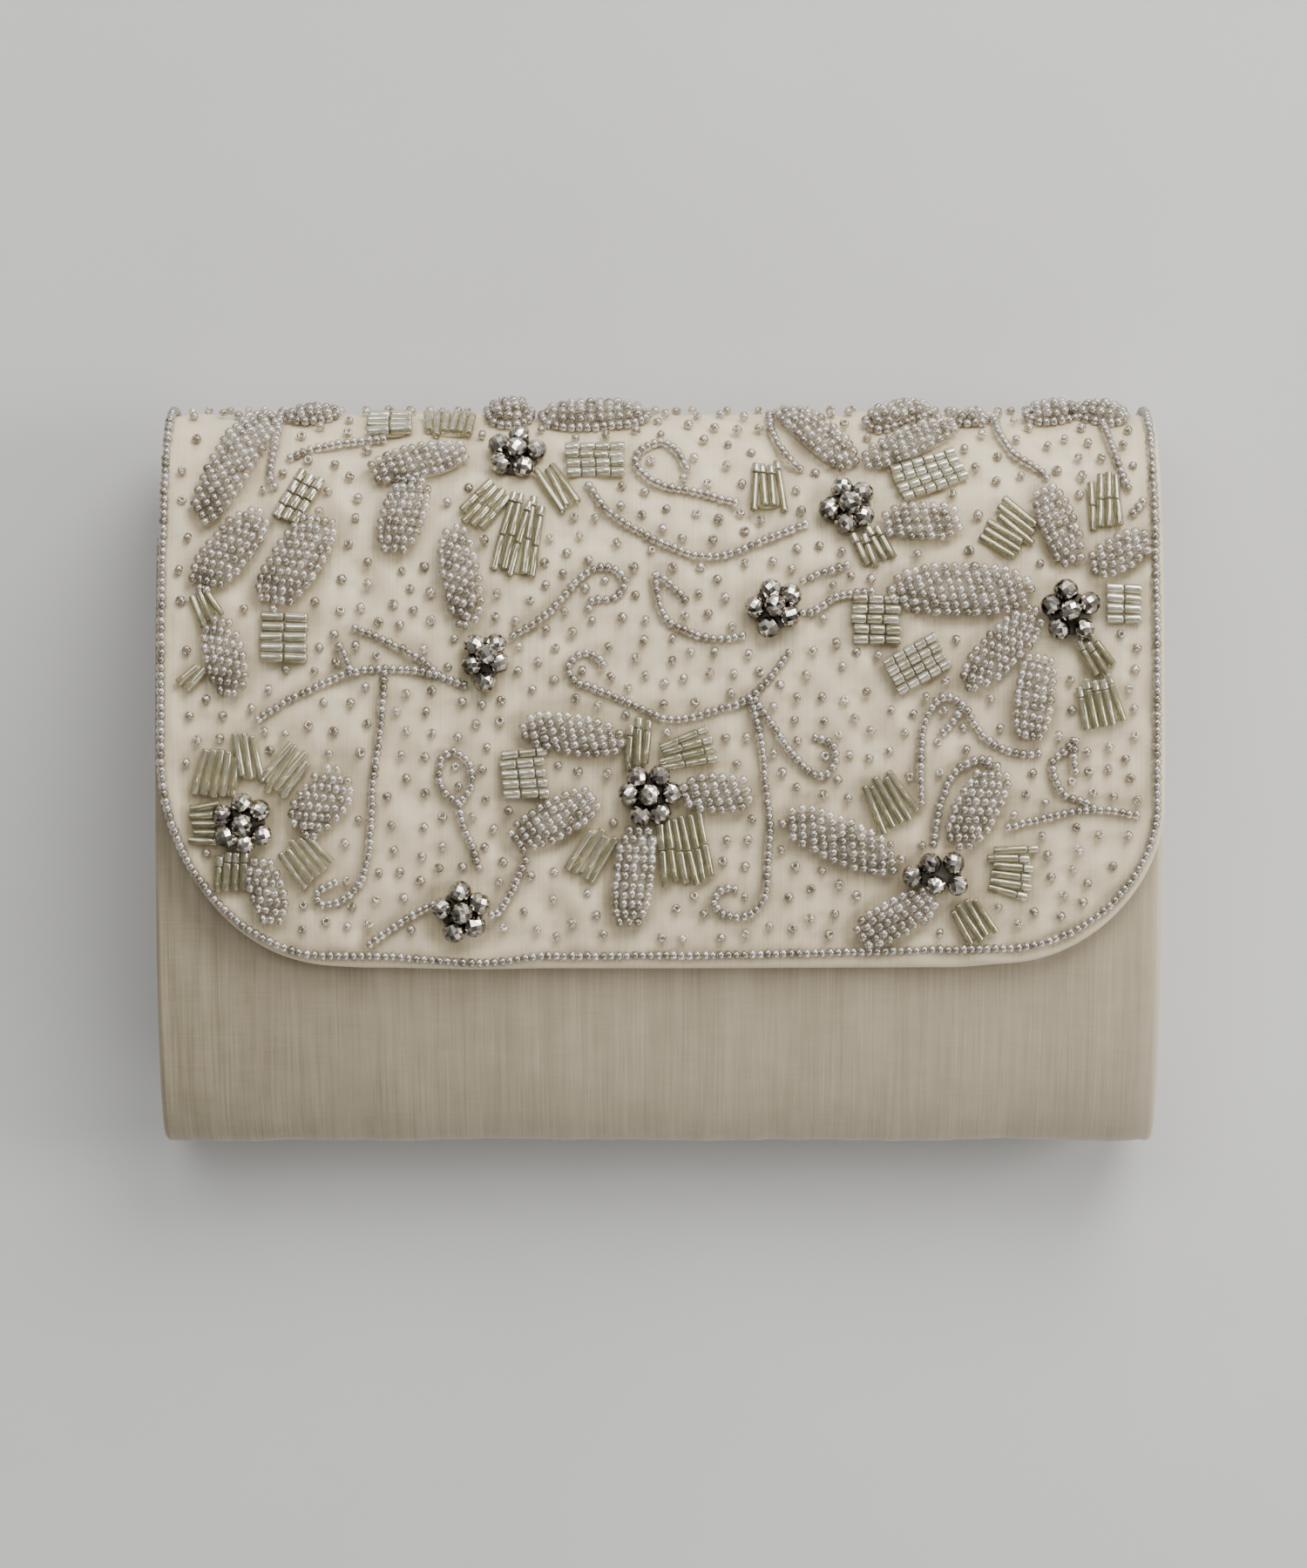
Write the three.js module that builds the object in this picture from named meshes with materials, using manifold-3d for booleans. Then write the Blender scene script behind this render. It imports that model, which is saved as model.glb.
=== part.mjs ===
// Beaded evening bag: a padded silk flap clutch with floral beadwork, lying on its back.
// Millimetres. +X runs across the bag, +Y from its bottom to the top fold, +Z up out of its front.
import * as THREE from "three";
import { mergeVertices } from "three/addons/utils/BufferGeometryUtils.js";
import Module from "manifold-3d";

const wasm = await Module();
wasm.setup();

// ---- Sizes of the cloth pieces ----
const BODY_WIDTH = 193; // across the wrapped body
const FLAP_WIDTH = 193; // across the flap
const BODY_WALL = 2.4; // padded silk wall of the body
const FLAP_WALL = 3.0; // padded silk wall of the flap
const FLAP_AIR = 1.6; // room between the front panel and the flap
const FLAP_LAY = FLAP_WALL + FLAP_AIR; // outside of the flap above the front panel
const GUSSET_WALL = 2.0;
const GUSSET_INSET = 1.5; // side walls set in from the edges of the wrap
const SEWN_GAP = 0.35; // left between sewn pieces

// ---- Side profile of the body, in Y and Z ----
const CROWN_Y = 8; // where the front stands highest
const TIP_Z = 17; // height of the bottom and top tips
const FRONT_RISE = 23.2; // crown above the tips
const TOP_REACH = 58.4, TOP_POWER = 2.4; // rounded quarter from crown to top tip
const BOTTOM_REACH = 79, BOTTOM_POWER = 2.1; // rounded quarter from crown to bottom tip
const BACK_LOW_Y = -46, BACK_HIGH_Y = 44; // flat of the back
const MOUTH_Y = 46; // upper edge of the front panel
const SEAM_Z = 6; // height of the seam between back and flap
const GUSSET_TOP_Y = 44, GUSSET_BACK_Y = 58; // ends of the gusset's open edge
const TOP_TIP_Y = CROWN_Y + TOP_REACH + FLAP_LAY;
const BOTTOM_TIP_Y = CROWN_Y - BOTTOM_REACH;

// ---- Flap outline ----
const FLAP_LOW_Y = -36.5; // lower edge
const CORNER_LEFT = { across: 32, along: 40, power: 1.9 };
const CORNER_RIGHT = { across: 30, along: 30.5, power: 1.85 };
const FOLD_ROUND = 1.0; // rounding of the folded edge
const EDGE_WAVE = [
  // how far the lower edge hangs below its straight line
  { x: -71, drop: 0.0 },
  { x: -52, drop: 0.3 },
  { x: -36, drop: 0.9 },
  { x: -20, drop: 0.1 },
  { x: 0, drop: 0.0 },
  { x: 55, drop: -0.1 },
  { x: 69, drop: -0.4 },
];
const WAVE_FADE = 14;
const FLAP_ROWS = [
  // spacing of the flap's cross rows along its length
  { upTo: 2.1, step: 0.7 },
  { upTo: 10, step: 2.6 },
  { upTo: 40, step: 5.2 },
  { upTo: 64, step: 9.3 },
  { upTo: 90, step: 5.2 },
  { upTo: 200, step: 3.3 },
];
const FLAP_COLUMNS = 6;

// ---- Hidden snap ----
const SNAP = { radius: 7, thick: 1.0, x: 0, v: 16 };

// ---- Beads ----
const REST = 0.4; // beadwork stands this far off the silk
// the edge string's middle stands in from the edge: at the side, at the lower edge, and how soon it changes in the corner
const EDGE_STRING = { radius: 0.85, rest: 0.5, steps: 80, left: { side: 0.85, low: 2.0, ease: 0.6 }, right: { side: 1.7, low: 3.2, ease: 2 } };
const VINE = { radius: 0.95, step: 5.6 };
const FACET_BEAD = { radius: 2.25, ring: { 5: 3.65, 6: 4.17 }, middle: 2.45, raise: 0.6 };
const LEAF_HEIGHT = 2.9;
const BUGLE = { pitch: 1.65, height: 1.7 };
const CUT = { pitch: 1.95, height: 2.0 };
const THREAD = { radius: 0.6, sides: 4, step: 9 };
const CLEAR = 0.35; // left round a piece that meets another

// Beadwork is charted on the outside of the flap: x across, v along the flap from its lower edge.
// Leaves: node, from (x1, v1) to (x2, v2), width
const LEAVES = [
  ["leaf_01", -88.6, 84.2, -77.0, 111.6, 9.0],
  ["leaf_01", -89.4, 72.2, -76.2, 87.5, 7.5],
  ["leaf_01", -81.1, 51.9, -85.3, 66.2, 7.0],
  ["leaf_02", -76.2, 68.4, -63.6, 87.3, 9.8],
  ["leaf_03", -52.3, 79.0, -46.7, 94.8, 9.2],
  ["leaf_03", -57.1, 95.4, -36.6, 100.6, 7.8],
  ["leaf_04", -36.5, 64.4, -40.3, 84.9, 7.0],
  ["leaf_05", -72.2, 112.0, -63.6, 114.5, 6.0],
  ["leaf_06", -23.3, 108.0, -2.5, 111.5, 9.0],
  ["leaf_07", 22.6, 115.0, 37.4, 95.8, 8.4],
  ["leaf_07", 38.4, 97.0, 58.0, 108.2, 7.2],
  ["leaf_07", 40.4, 108.0, 52.5, 117.0, 6.5],
  ["leaf_07", 57.5, 110.5, 63.0, 111.5, 4.0],
  ["leaf_08", 42.5, 85.4, 57.7, 85.4, 7.5],
  ["leaf_09", 42.9, 72.2, 71.7, 71.9, 10.8],
  ["leaf_10", 79.2, 75.8, 73.2, 93.6, 7.8],
  ["leaf_11", 82.3, 75.9, 92.9, 82.3, 6.6],
  ["leaf_12", 58.1, 54.1, 72.7, 68.2, 7.5],
  ["leaf_13", 70.1, 41.6, 72.6, 60.7, 7.5],
  ["leaf_14", 71.6, 112.0, 81.8, 115.0, 7.0],
  ["leaf_14", 81.0, 115.0, 90.3, 111.5, 7.0],
  ["leaf_15", -70.0, 26.0, -60.0, 37.1, 10.0],
  ["leaf_16", -73.4, 8.1, -77.5, 21.0, 7.5],
  ["leaf_17", -27.3, 46.3, -6.7, 42.6, 8.3],
  ["leaf_18", -29.0, 23.5, -12.0, 33.0, 8.3],
  ["leaf_19", -5.8, 8.1, -4.2, 26.8, 8.3],
  ["leaf_20", 3.3, 33.5, 17.8, 33.0, 8.0],
  ["leaf_21", 23.5, 29.1, 45.7, 19.2, 9.2],
  ["leaf_22", 56.0, 22.8, 65.1, 38.8, 9.2],
  ["leaf_23", 36.9, 5.4, 52.9, 13.6, 8.3],
  ["flower_1", -29.6, 107.5, -29.6, 119.5, 7.5],
];
// Bars of bugle or cut beads: node, kind, centre (x, v), direction in degrees, beads side by side, beads in line, bead length
const BARS = [
  ["bugle_bar_1", "cut", -53.0, 109.0, 0, 4, 4, 2.2],
  ["bugle_bar_2", "bugle", 20.5, 92.9, -85, 4, 1, 10.0],
  ["bugle_bar_3", "bugle", 66.7, 83.9, -37, 6, 1, 8.1],
  ["bugle_bar_4", "bugle", 85.3, 89.3, -88, 4, 1, 10.4],
  ["leaf_01", "bugle", -87.4, 69.2, -64, 3, 1, 6.0],
  ["leaf_01", "bugle", -89.6, 55.6, 42, 2, 1, 5.6],
  ["leaf_02", "cut", -70.4, 90.6, 55, 3, 5, 2.4],
  ["leaf_02", "cut", -72.2, 63.0, -2, 5, 4, 2.3],
  ["leaf_03", "bugle", -41.2, 109.0, 90, 6, 1, 8.0],
  ["leaf_06", "cut", -12.8, 98.7, 1, 4, 5, 2.3],
  ["leaf_07", "cut", 51.4, 95.4, 20, 4, 6, 2.3],
  ["leaf_09", "cut", 41.2, 66.4, -1, 5, 4, 2.3],
  ["leaf_12", "cut", 48.8, 57.9, 30, 4, 5, 2.3],
  ["leaf_17", "cut", -26.1, 37.0, 3, 5, 4, 2.2],
  ["leaf_18", "bugle", -13.3, 21.7, 62, 4, 1, 9.6],
  ["leaf_21", "bugle", 43.6, 31.5, -60, 5, 1, 9.9],
  ["flower_1", "bugle", -34.0, 88.9, 52, 4, 1, 9.0],
  ["flower_1", "bugle", -27.1, 82.8, 79, 5, 2, 8.0],
  ["flower_1", "bugle", -20.1, 92.7, -57, 3, 1, 10.1],
  ["flower_2", "bugle", 40.6, 80.4, -67, 4, 1, 7.2],
  ["flower_4", "cut", 88.4, 69.4, -2, 4, 3, 2.3],
  ["flower_4", "bugle", 83.0, 59.5, -58, 3, 1, 7.9],
  ["flower_4", "bugle", 83.8, 50.1, -77, 5, 1, 9.3],
  ["flower_6", "bugle", -84.9, 37.1, 80, 5, 1, 8.9],
  ["flower_6", "bugle", -79.1, 39.9, -80, 3, 1, 9.0],
  ["flower_6", "bugle", -71.9, 37.6, 54, 4, 1, 9.7],
  ["flower_6", "bugle", -87.6, 27.3, 3, 5, 1, 5.6],
  ["flower_6", "bugle", -82.3, 18.5, 86, 4, 1, 7.2],
  ["flower_6", "bugle", -68.2, 20.7, -52, 5, 1, 8.3],
  ["flower_7", "bugle", -4.5, 42.9, 87, 3, 1, 8.9],
  ["flower_7", "cut", 4.7, 41.3, 14, 4, 5, 2.1],
  ["flower_7", "bugle", 4.2, 22.7, -82, 6, 2, 6.3],
  ["flower_9", "bugle", 67.0, 18.3, -6, 6, 1, 8.0],
  ["flower_9", "bugle", 59.6, 8.9, -56, 4, 1, 8.5],
];
// Flower centres: node, centre (x, v), beads in its ring (none in a bunch), turn of the ring in degrees
const FLOWERS = [
  ["flower_1", -27.9, 99.7, 5, 5],
  ["flower_2", 36.2, 88.4, 5, 44],
  ["flower_3", 21.7, 68.7, 5, 38],
  ["flower_4", 78.2, 67.7, 5, 20],
  ["flower_5", -33.5, 58.6, 0, 0],
  ["flower_6", -80.0, 27.3, 6, 33],
  ["flower_7", -2.3, 33.0, 6, 0],
  ["flower_8", -38.2, 10.5, 5, 25],
  ["flower_9", 53.0, 18.0, 0, 0],
];
// Bunches, in the order of their thread: place of each bead from the centre (x, v), lift
const BUNCHES = {
  flower_5: [[-2.2, 2.8, 0], [2.0, 3.1, 0], [2.5, -0.6, 0.1], [-0.3, -4.2, 0.1], [-2.7, -1.0, 0], [0.1, 0.9, 1.6]],
  flower_9: [[-5.0, -0.5, 0], [-1.6, 1.9, 0], [2.9, 2.0, 0], [3.7, -2.2, 0.3], [-0.5, -2.2, 0.5]],
};
// Vines, single strings of seed beads: node, turning points (x, v)
const VINES = [
  ["vine_01", [[-72.6, 116.0], [-72.7, 107.0], [-73.2, 99.8], [-74.3, 93.2]]],
  ["vine_02", [[-72.4, 99.1], [-66.6, 101.6], [-60.6, 103.0], [-53.2, 104.1]]],
  ["vine_03", [[5.1, 96.1], [2.9, 100.8], [0.0, 103.2], [-3.7, 101.2], [-5.0, 98.7], [-3.3, 95.4], [0.8, 92.9], [7.1, 91.6], [14.9, 89.3]]],
  ["vine_04", [[-14.3, 93.6], [-10.9, 88.4], [-5.0, 84.0], [0.8, 81.1], [7.0, 78.8], [13.4, 79.3], [20.7, 82.3], [28.3, 85.4]]],
  ["vine_05", [[-29.0, 63.0], [-24.0, 65.9], [-19.8, 69.7], [-16.2, 73.9], [-12.0, 76.5], [-8.3, 75.9], [-7.0, 73.1], [-9.2, 70.5], [-13.3, 70.0], [-14.2, 68.0]]],
  ["vine_06", [[-1.3, 75.6], [-0.8, 71.4], [0.8, 66.7], [5.0, 64.2], [10.3, 62.7], [16.2, 63.4]]],
  ["vine_06", [[-1.3, 75.6], [2.0, 73.1], [5.0, 69.7]]],
  ["vine_07", [[24.8, 60.7], [21.5, 56.2], [17.0, 51.6], [9.2, 48.7], [1.7, 47.4], [-5.0, 49.9], [-11.7, 52.9], [-16.7, 54.9], [-17.8, 57.4], [-15.0, 59.9], [-12.0, 59.0], [-10.8, 57.0]]],
  ["vine_07", [[17.0, 51.6], [19.0, 43.4], [19.8, 35.1], [20.7, 26.5], [20.3, 19.0], [19.5, 12.6], [16.5, 9.8], [12.5, 9.8], [10.0, 12.3], [11.7, 14.8], [14.8, 14.8]]],
  ["vine_07", [[17.5, 51.6], [22.3, 44.6], [25.6, 40.1], [30.0, 36.5], [33.1, 38.8], [32.8, 42.4], [28.6, 44.3]]],
  ["vine_08", [[-77.8, 47.1], [-72.4, 50.4], [-65.8, 53.7], [-60.0, 56.2], [-53.3, 57.0], [-47.1, 56.7], [-42.1, 55.4], [-37.1, 53.7]]],
  ["vine_08", [[-59.3, 65.0], [-52.5, 62.2], [-46.3, 58.9], [-42.1, 55.4]]],
  ["vine_08", [[-62.0, 61.9], [-60.6, 59.5], [-59.5, 56.2]]],
  ["vine_08", [[-53.0, 56.9], [-53.8, 44.9], [-55.0, 36.8], [-55.5, 28.5], [-56.2, 21.0], [-58.0, 15.6], [-61.7, 12.6], [-65.4, 12.0], [-65.9, 14.3], [-61.7, 16.5]]],
  ["vine_09", [[-38.5, 31.0], [-42.1, 34.6], [-42.1, 39.6], [-40.1, 41.3], [-37.1, 39.3], [-36.3, 35.1], [-38.5, 31.0], [-38.0, 27.3], [-36.3, 23.2], [-34.8, 18.3]]],
  ["vine_10", [[49.6, 30.6], [49.6, 39.6], [50.1, 45.6], [52.0, 50.2], [54.6, 51.7], [57.5, 50.2], [58.8, 48.2], [61.9, 43.8], [66.1, 41.9], [69.3, 41.9]]],
  ["vine_10", [[57.5, 50.2], [56.0, 47.4], [53.3, 44.3]]],
  ["vine_11", [[52.0, 22.8], [52.8, 28.8], [54.3, 34.1], [56.5, 37.8], [60.6, 39.6], [63.4, 39.3]]],
  ["vine_12", [[65.6, 26.5], [72.5, 28.3], [78.5, 29.6], [84.8, 30.1], [90.3, 29.1], [91.6, 29.0]]],
  ["vine_12", [[79.4, 43.8], [77.1, 41.4], [74.8, 39.3], [75.3, 36.0], [77.1, 32.8], [81.1, 31.5], [83.1, 30.1]]],
  ["vine_12", [[79.4, 43.8], [78.8, 40.3], [79.3, 36.6]]],
  ["vine_13", [[21.2, 114.5], [21.5, 105.9], [23.9, 100.1], [27.2, 96.1]]],
  ["vine_14", [[64.7, 112.2], [65.8, 105.1], [68.2, 100.1], [72.3, 96.9], [74.7, 94.2]]],
  ["vine_15", [[85.8, 109.1], [87.2, 102.1], [88.4, 96.9], [90.1, 91.8]]],
  ["flower_3", [[26.5, 73.6], [28.7, 74.6], [36.1, 77.3]]],
  ["flower_3", [[26.5, 67.4], [29.2, 68.2], [33.7, 70.9], [41.0, 71.9]]],
  ["flower_8", [[-43.2, 12.3], [-49.4, 8.9], [-53.4, 6.1], [-56.5, 3.9]]],
  ["flower_8", [[-33.2, 9.6], [-31.2, 10.6], [-29.0, 14.0], [-27.0, 18.2], [-25.7, 21.0]]],
  ["bugle_bar_4", [[93.2, 90.2], [90.2, 86.8]]],
];

// ---- Profile curves: points { y, z, ny, nz } with their outward normals ----
function quarter(reach, power, side, angle) {
  const c = Math.max(Math.cos(angle), 0), s = Math.max(Math.sin(angle), 0);
  const y = reach * c ** (2 / power), z = FRONT_RISE * s ** (2 / power);
  const gy = (power / reach) * (y / reach) ** (power - 1);
  const gz = (power / FRONT_RISE) * (z / FRONT_RISE) ** (power - 1);
  const g = Math.hypot(gy, gz);
  return { y: CROWN_Y + side * y, z: TIP_Z + z, ny: (side * gy) / g, nz: gz / g };
}
function backCorner(flatY, tipY, angle) {
  const a = tipY - flatY;
  const ny = Math.sin(angle) / a, nz = -Math.cos(angle) / TIP_Z;
  const g = Math.hypot(ny, nz);
  return { y: flatY + a * Math.sin(angle), z: TIP_Z - TIP_Z * Math.cos(angle), ny: ny / g, nz: nz / g };
}
const moved = (p, d) => ({ y: p.y + d * p.ny, z: p.z + d * p.nz, ny: p.ny, nz: p.nz });
const span = (from, to, n) => Array.from({ length: n + 1 }, (_, i) => from + ((to - from) * i) / n);

function along(points) {
  const at = [0];
  for (let i = 1; i < points.length; i++) at.push(at[i - 1] + Math.hypot(points[i].y - points[i - 1].y, points[i].z - points[i - 1].z));
  return at;
}
function pick(points, at, v) {
  let i = 1;
  while (i < at.length - 1 && at[i] < v) i++;
  const t = (v - at[i - 1]) / (at[i] - at[i - 1]);
  const a = points[i - 1], b = points[i];
  const ny = a.ny + t * (b.ny - a.ny), nz = a.nz + t * (b.nz - a.nz), g = Math.hypot(ny, nz);
  return { y: a.y + t * (b.y - a.y), z: a.z + t * (b.z - a.z), ny: ny / g, nz: nz / g };
}
function evenly(points, n) {
  const at = along(points);
  return span(0, at[at.length - 1], n).map((v) => pick(points, at, v));
}

// Outside of the flap, from a little below its lower edge over the top fold to the seam
const FINE = 600;
const lowQuarter = span(0, Math.PI / 2, FINE).map((a) => quarter(BOTTOM_REACH, BOTTOM_POWER, -1, a));
const topQuarter = span(Math.PI / 2, 0, FINE).map((a) => quarter(TOP_REACH, TOP_POWER, 1, a));
const seamAngle = Math.acos(1 - SEAM_Z / TIP_Z);
const flapLine = [
  ...[...lowQuarter, ...topQuarter.slice(1)].map((p) => moved(p, FLAP_LAY)).filter((p) => p.y > FLAP_LOW_Y - 4),
  ...span(Math.PI / 2, seamAngle, 200).slice(1).map((a) => backCorner(BACK_HIGH_Y, TOP_TIP_Y, a)),
];
const flapAt = along(flapLine);
const startAt = flapAt[flapLine.findIndex((p) => p.y >= FLAP_LOW_Y)];
const FLAP_LENGTH = flapAt[flapAt.length - 1] - startAt;

// A point of the flap's chart, h above the silk
function place(x, v, h) {
  const p = pick(flapLine, flapAt, v + startAt);
  return new THREE.Vector3(x, p.y + h * p.ny, p.z + h * p.nz);
}
function frameAt(x, v, h) {
  const p = pick(flapLine, flapAt, v + startAt);
  return new THREE.Matrix4()
    .makeBasis(new THREE.Vector3(1, 0, 0), new THREE.Vector3(0, p.nz, -p.ny), new THREE.Vector3(0, p.ny, p.nz))
    .setPosition(place(x, v, h));
}

// ---- Solids ----
function bare(geometry) {
  geometry.deleteAttribute("normal");
  if (geometry.getAttribute("uv")) geometry.deleteAttribute("uv");
  return mergeVertices(geometry, 1e-4);
}
function outward(geometry) {
  const p = geometry.getAttribute("position"), t = geometry.getIndex().array;
  const v = (i) => new THREE.Vector3().fromBufferAttribute(p, i);
  let volume = 0;
  for (let i = 0; i < t.length; i += 3) volume += v(t[i]).dot(v(t[i + 1]).cross(v(t[i + 2])));
  if (volume < 0) for (let i = 0; i < t.length; i += 3) [t[i], t[i + 1]] = [t[i + 1], t[i]];
  return geometry;
}
function meshOf(points, triangles) {
  const g = new THREE.BufferGeometry();
  g.setAttribute("position", new THREE.Float32BufferAttribute(points.flatMap((p) => [p.x, p.y, p.z]), 3));
  g.setIndex(triangles);
  return outward(g);
}
function solidOf(geometry) {
  const g = outward(bare(geometry));
  return new wasm.Manifold(new wasm.Mesh({
    numProp: 3,
    vertProperties: new Float32Array(g.getAttribute("position").array),
    triVerts: new Uint32Array(g.getIndex().array),
  }));
}
function geometryOf(solid) {
  const m = solid.getMesh();
  const g = new THREE.BufferGeometry();
  const n = m.vertProperties.length / m.numProp;
  const p = new Float32Array(n * 3);
  for (let i = 0; i < n; i++) for (let k = 0; k < 3; k++) p[3 * i + k] = m.vertProperties[i * m.numProp + k];
  g.setAttribute("position", new THREE.BufferAttribute(p, 3));
  g.setIndex(Array.from(m.triVerts));
  return g;
}
// Edges shorter than SHORT are closed up after a cut
const SHORT = 0.04;
function tidy(geometry) {
  const p = geometry.getAttribute("position"), t = geometry.getIndex().array, to = Array.from({ length: p.count }, (_, i) => i);
  const root = (i) => (to[i] === i ? i : (to[i] = root(to[i])));
  const v = (i) => new THREE.Vector3().fromBufferAttribute(p, i);
  for (let i = 0; i < t.length; i++) {
    const a = root(t[i]), b = root(t[i % 3 === 2 ? i - 2 : i + 1]);
    if (a !== b && v(a).distanceTo(v(b)) < SHORT) to[b] = a;
  }
  const kept = new Map();
  for (let i = 0; i < t.length; i += 3) {
    const f = [root(t[i]), root(t[i + 1]), root(t[i + 2])];
    if (f[0] === f[1] || f[1] === f[2] || f[2] === f[0]) continue;
    const key = [...f].sort((a, b) => a - b).join();
    if (kept.has(key)) kept.delete(key);
    else kept.set(key, f);
  }
  const used = [...new Set([...kept.values()].flat())], at = new Map(used.map((k, i) => [k, i]));
  return meshOf(used.map(v), [...kept.values()].flat().map((k) => at.get(k)));
}
// A closed solid through equal loops of points, with flat ends
function loft(loops) {
  const n = loops[0].length, points = loops.flat(), triangles = [];
  for (let i = 0; i + 1 < loops.length; i++)
    for (let j = 0; j < n; j++) {
      const a = i * n + j, b = i * n + ((j + 1) % n), c = a + n, d = b + n;
      triangles.push(a, b, d, a, d, c);
    }
  // each end is a fan about the loop's last point
  const last = (loops.length - 1) * n, hub = n - 1;
  for (let j = 0; j + 1 < hub; j++) triangles.push(hub, j + 1, j, last + hub, last + j, last + j + 1);
  return meshOf(points, triangles);
}
function round(radius, sides = 8) {
  return new THREE.Shape(span(0, 2 * Math.PI, sides).slice(0, sides).map((a) => new THREE.Vector2(radius * Math.cos(a), radius * Math.sin(a))));
}
function tube(points, radius, steps, sides) {
  const path = new THREE.CatmullRomCurve3(points, false, "centripetal");
  return new THREE.ExtrudeGeometry(round(radius, sides), { steps: steps ?? Math.max(2, Math.ceil(path.getLength() / VINE.step)), extrudePath: path, bevelEnabled: false });
}
function across(shape, width) {
  // a side profile drawn in Y and Z, extruded along X about the middle
  const g = new THREE.ExtrudeGeometry(shape, { depth: width, bevelEnabled: false, steps: 1 });
  g.translate(0, 0, -width / 2);
  g.applyMatrix4(new THREE.Matrix4().makeBasis(new THREE.Vector3(0, 1, 0), new THREE.Vector3(0, 0, 1), new THREE.Vector3(1, 0, 0)));
  return bare(g);
}
const outline = (points) => new THREE.Shape(points.map((p) => new THREE.Vector2(p.y, p.z)));

// ---- Body: one wrap of front panel, bottom and back ----
function wrapLine(mouthY, backAngle) {
  const front = evenly(topQuarter.filter((p) => p.y <= mouthY).reverse(), 6);
  const low = evenly([...lowQuarter].reverse(), 20);
  const lowBack = evenly(span(Math.PI / 2, 0, 80).map((a) => {
    const p = backCorner(-BACK_LOW_Y, -BOTTOM_TIP_Y, a);
    return { y: -p.y, z: p.z, ny: -p.ny, nz: p.nz };
  }), 9);
  const highBack = evenly(span(0, backAngle, 80).map((a) => backCorner(BACK_HIGH_Y, TOP_TIP_Y, a)), 8);
  return [...front, ...low.slice(1), ...lowBack.slice(1), ...highBack];
}
function bodyShell() {
  const line = wrapLine(MOUTH_Y, seamAngle - SEWN_GAP / TIP_Z);
  return across(outline([...line, ...line.map((p) => moved(p, -BODY_WALL)).reverse()]), BODY_WIDTH);
}
function gusset() {
  const line = wrapLine(GUSSET_TOP_Y, Math.asin((GUSSET_BACK_Y - BACK_HIGH_Y) / (TOP_TIP_Y - BACK_HIGH_Y)));
  return across(outline(line.map((p) => moved(p, -BODY_WALL - SEWN_GAP))), GUSSET_WALL);
}

// ---- Flap ----
const HALF = FLAP_WIDTH / 2;
function flapSide(v, corner) {
  const short = Math.max(0, corner.along - Math.max(v, 0)) / corner.along;
  return HALF - corner.across * (1 - (1 - short ** corner.power) ** (1 / corner.power));
}
function waveDrop(x) {
  let i = 1;
  while (i < EDGE_WAVE.length - 1 && EDGE_WAVE[i].x < x) i++;
  const a = EDGE_WAVE[i - 1], b = EDGE_WAVE[i];
  const t = THREE.MathUtils.smoothstep(x, a.x, b.x);
  return a.drop + (b.drop - a.drop) * t;
}
const waved = (x, v) => v - waveDrop(x) * Math.max(0, 1 - v / WAVE_FADE) ** 2;
function flapRows() {
  const rows = [0];
  for (const { upTo, step } of FLAP_ROWS) while (rows[rows.length - 1] + step < Math.min(upTo, FLAP_LENGTH - step / 2)) rows.push(rows[rows.length - 1] + step);
  rows.push(FLAP_LENGTH);
  return rows;
}
function flap() {
  const rows = flapRows(), n = FLAP_COLUMNS + 1;
  const layer = (h, inset) =>
    rows.flatMap((row) => {
      const v = inset + (row * (FLAP_LENGTH - inset)) / FLAP_LENGTH;
      const from = -flapSide(v, CORNER_LEFT) + inset, to = flapSide(v, CORNER_RIGHT) - inset;
      return span(from, to, FLAP_COLUMNS).map((x) => place(x, waved(x, v), h));
    });
  const border = [];
  for (let j = 0; j < n - 1; j++) border.push(j);
  for (let i = 0; i < rows.length - 1; i++) border.push(i * n + n - 1);
  for (let j = n - 1; j > 0; j--) border.push((rows.length - 1) * n + j);
  for (let i = rows.length - 1; i > 0; i--) border.push(i * n);
  const top = layer(0, FOLD_ROUND), under = layer(-FLAP_WALL, FOLD_ROUND), edge = layer(-FLAP_WALL / 2, 0);
  const points = [...top, ...under, ...border.map((k) => edge[k])];
  const triangles = [], low = top.length, rim = top.length * 2;
  for (let i = 0; i + 1 < rows.length; i++)
    for (let j = 0; j + 1 < n; j++) {
      const a = i * n + j, b = a + 1, c = a + n, d = c + 1;
      triangles.push(a, b, d, a, d, c, low + a, low + d, low + b, low + a, low + c, low + d);
    }
  border.forEach((k, i) => {
    const q = (i + 1) % border.length, k2 = border[q];
    triangles.push(k, rim + i, rim + q, k, rim + q, k2, rim + i, low + k, low + k2, rim + i, low + k2, rim + q);
  });
  return meshOf(points, triangles);
}
function flapSnap() {
  const g = new THREE.CylinderGeometry(SNAP.radius, SNAP.radius, SNAP.thick, 20);
  g.rotateX(Math.PI / 2);
  g.applyMatrix4(frameAt(SNAP.x, SNAP.v, -FLAP_WALL - FLAP_AIR / 2));
  return bare(g);
}

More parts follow.
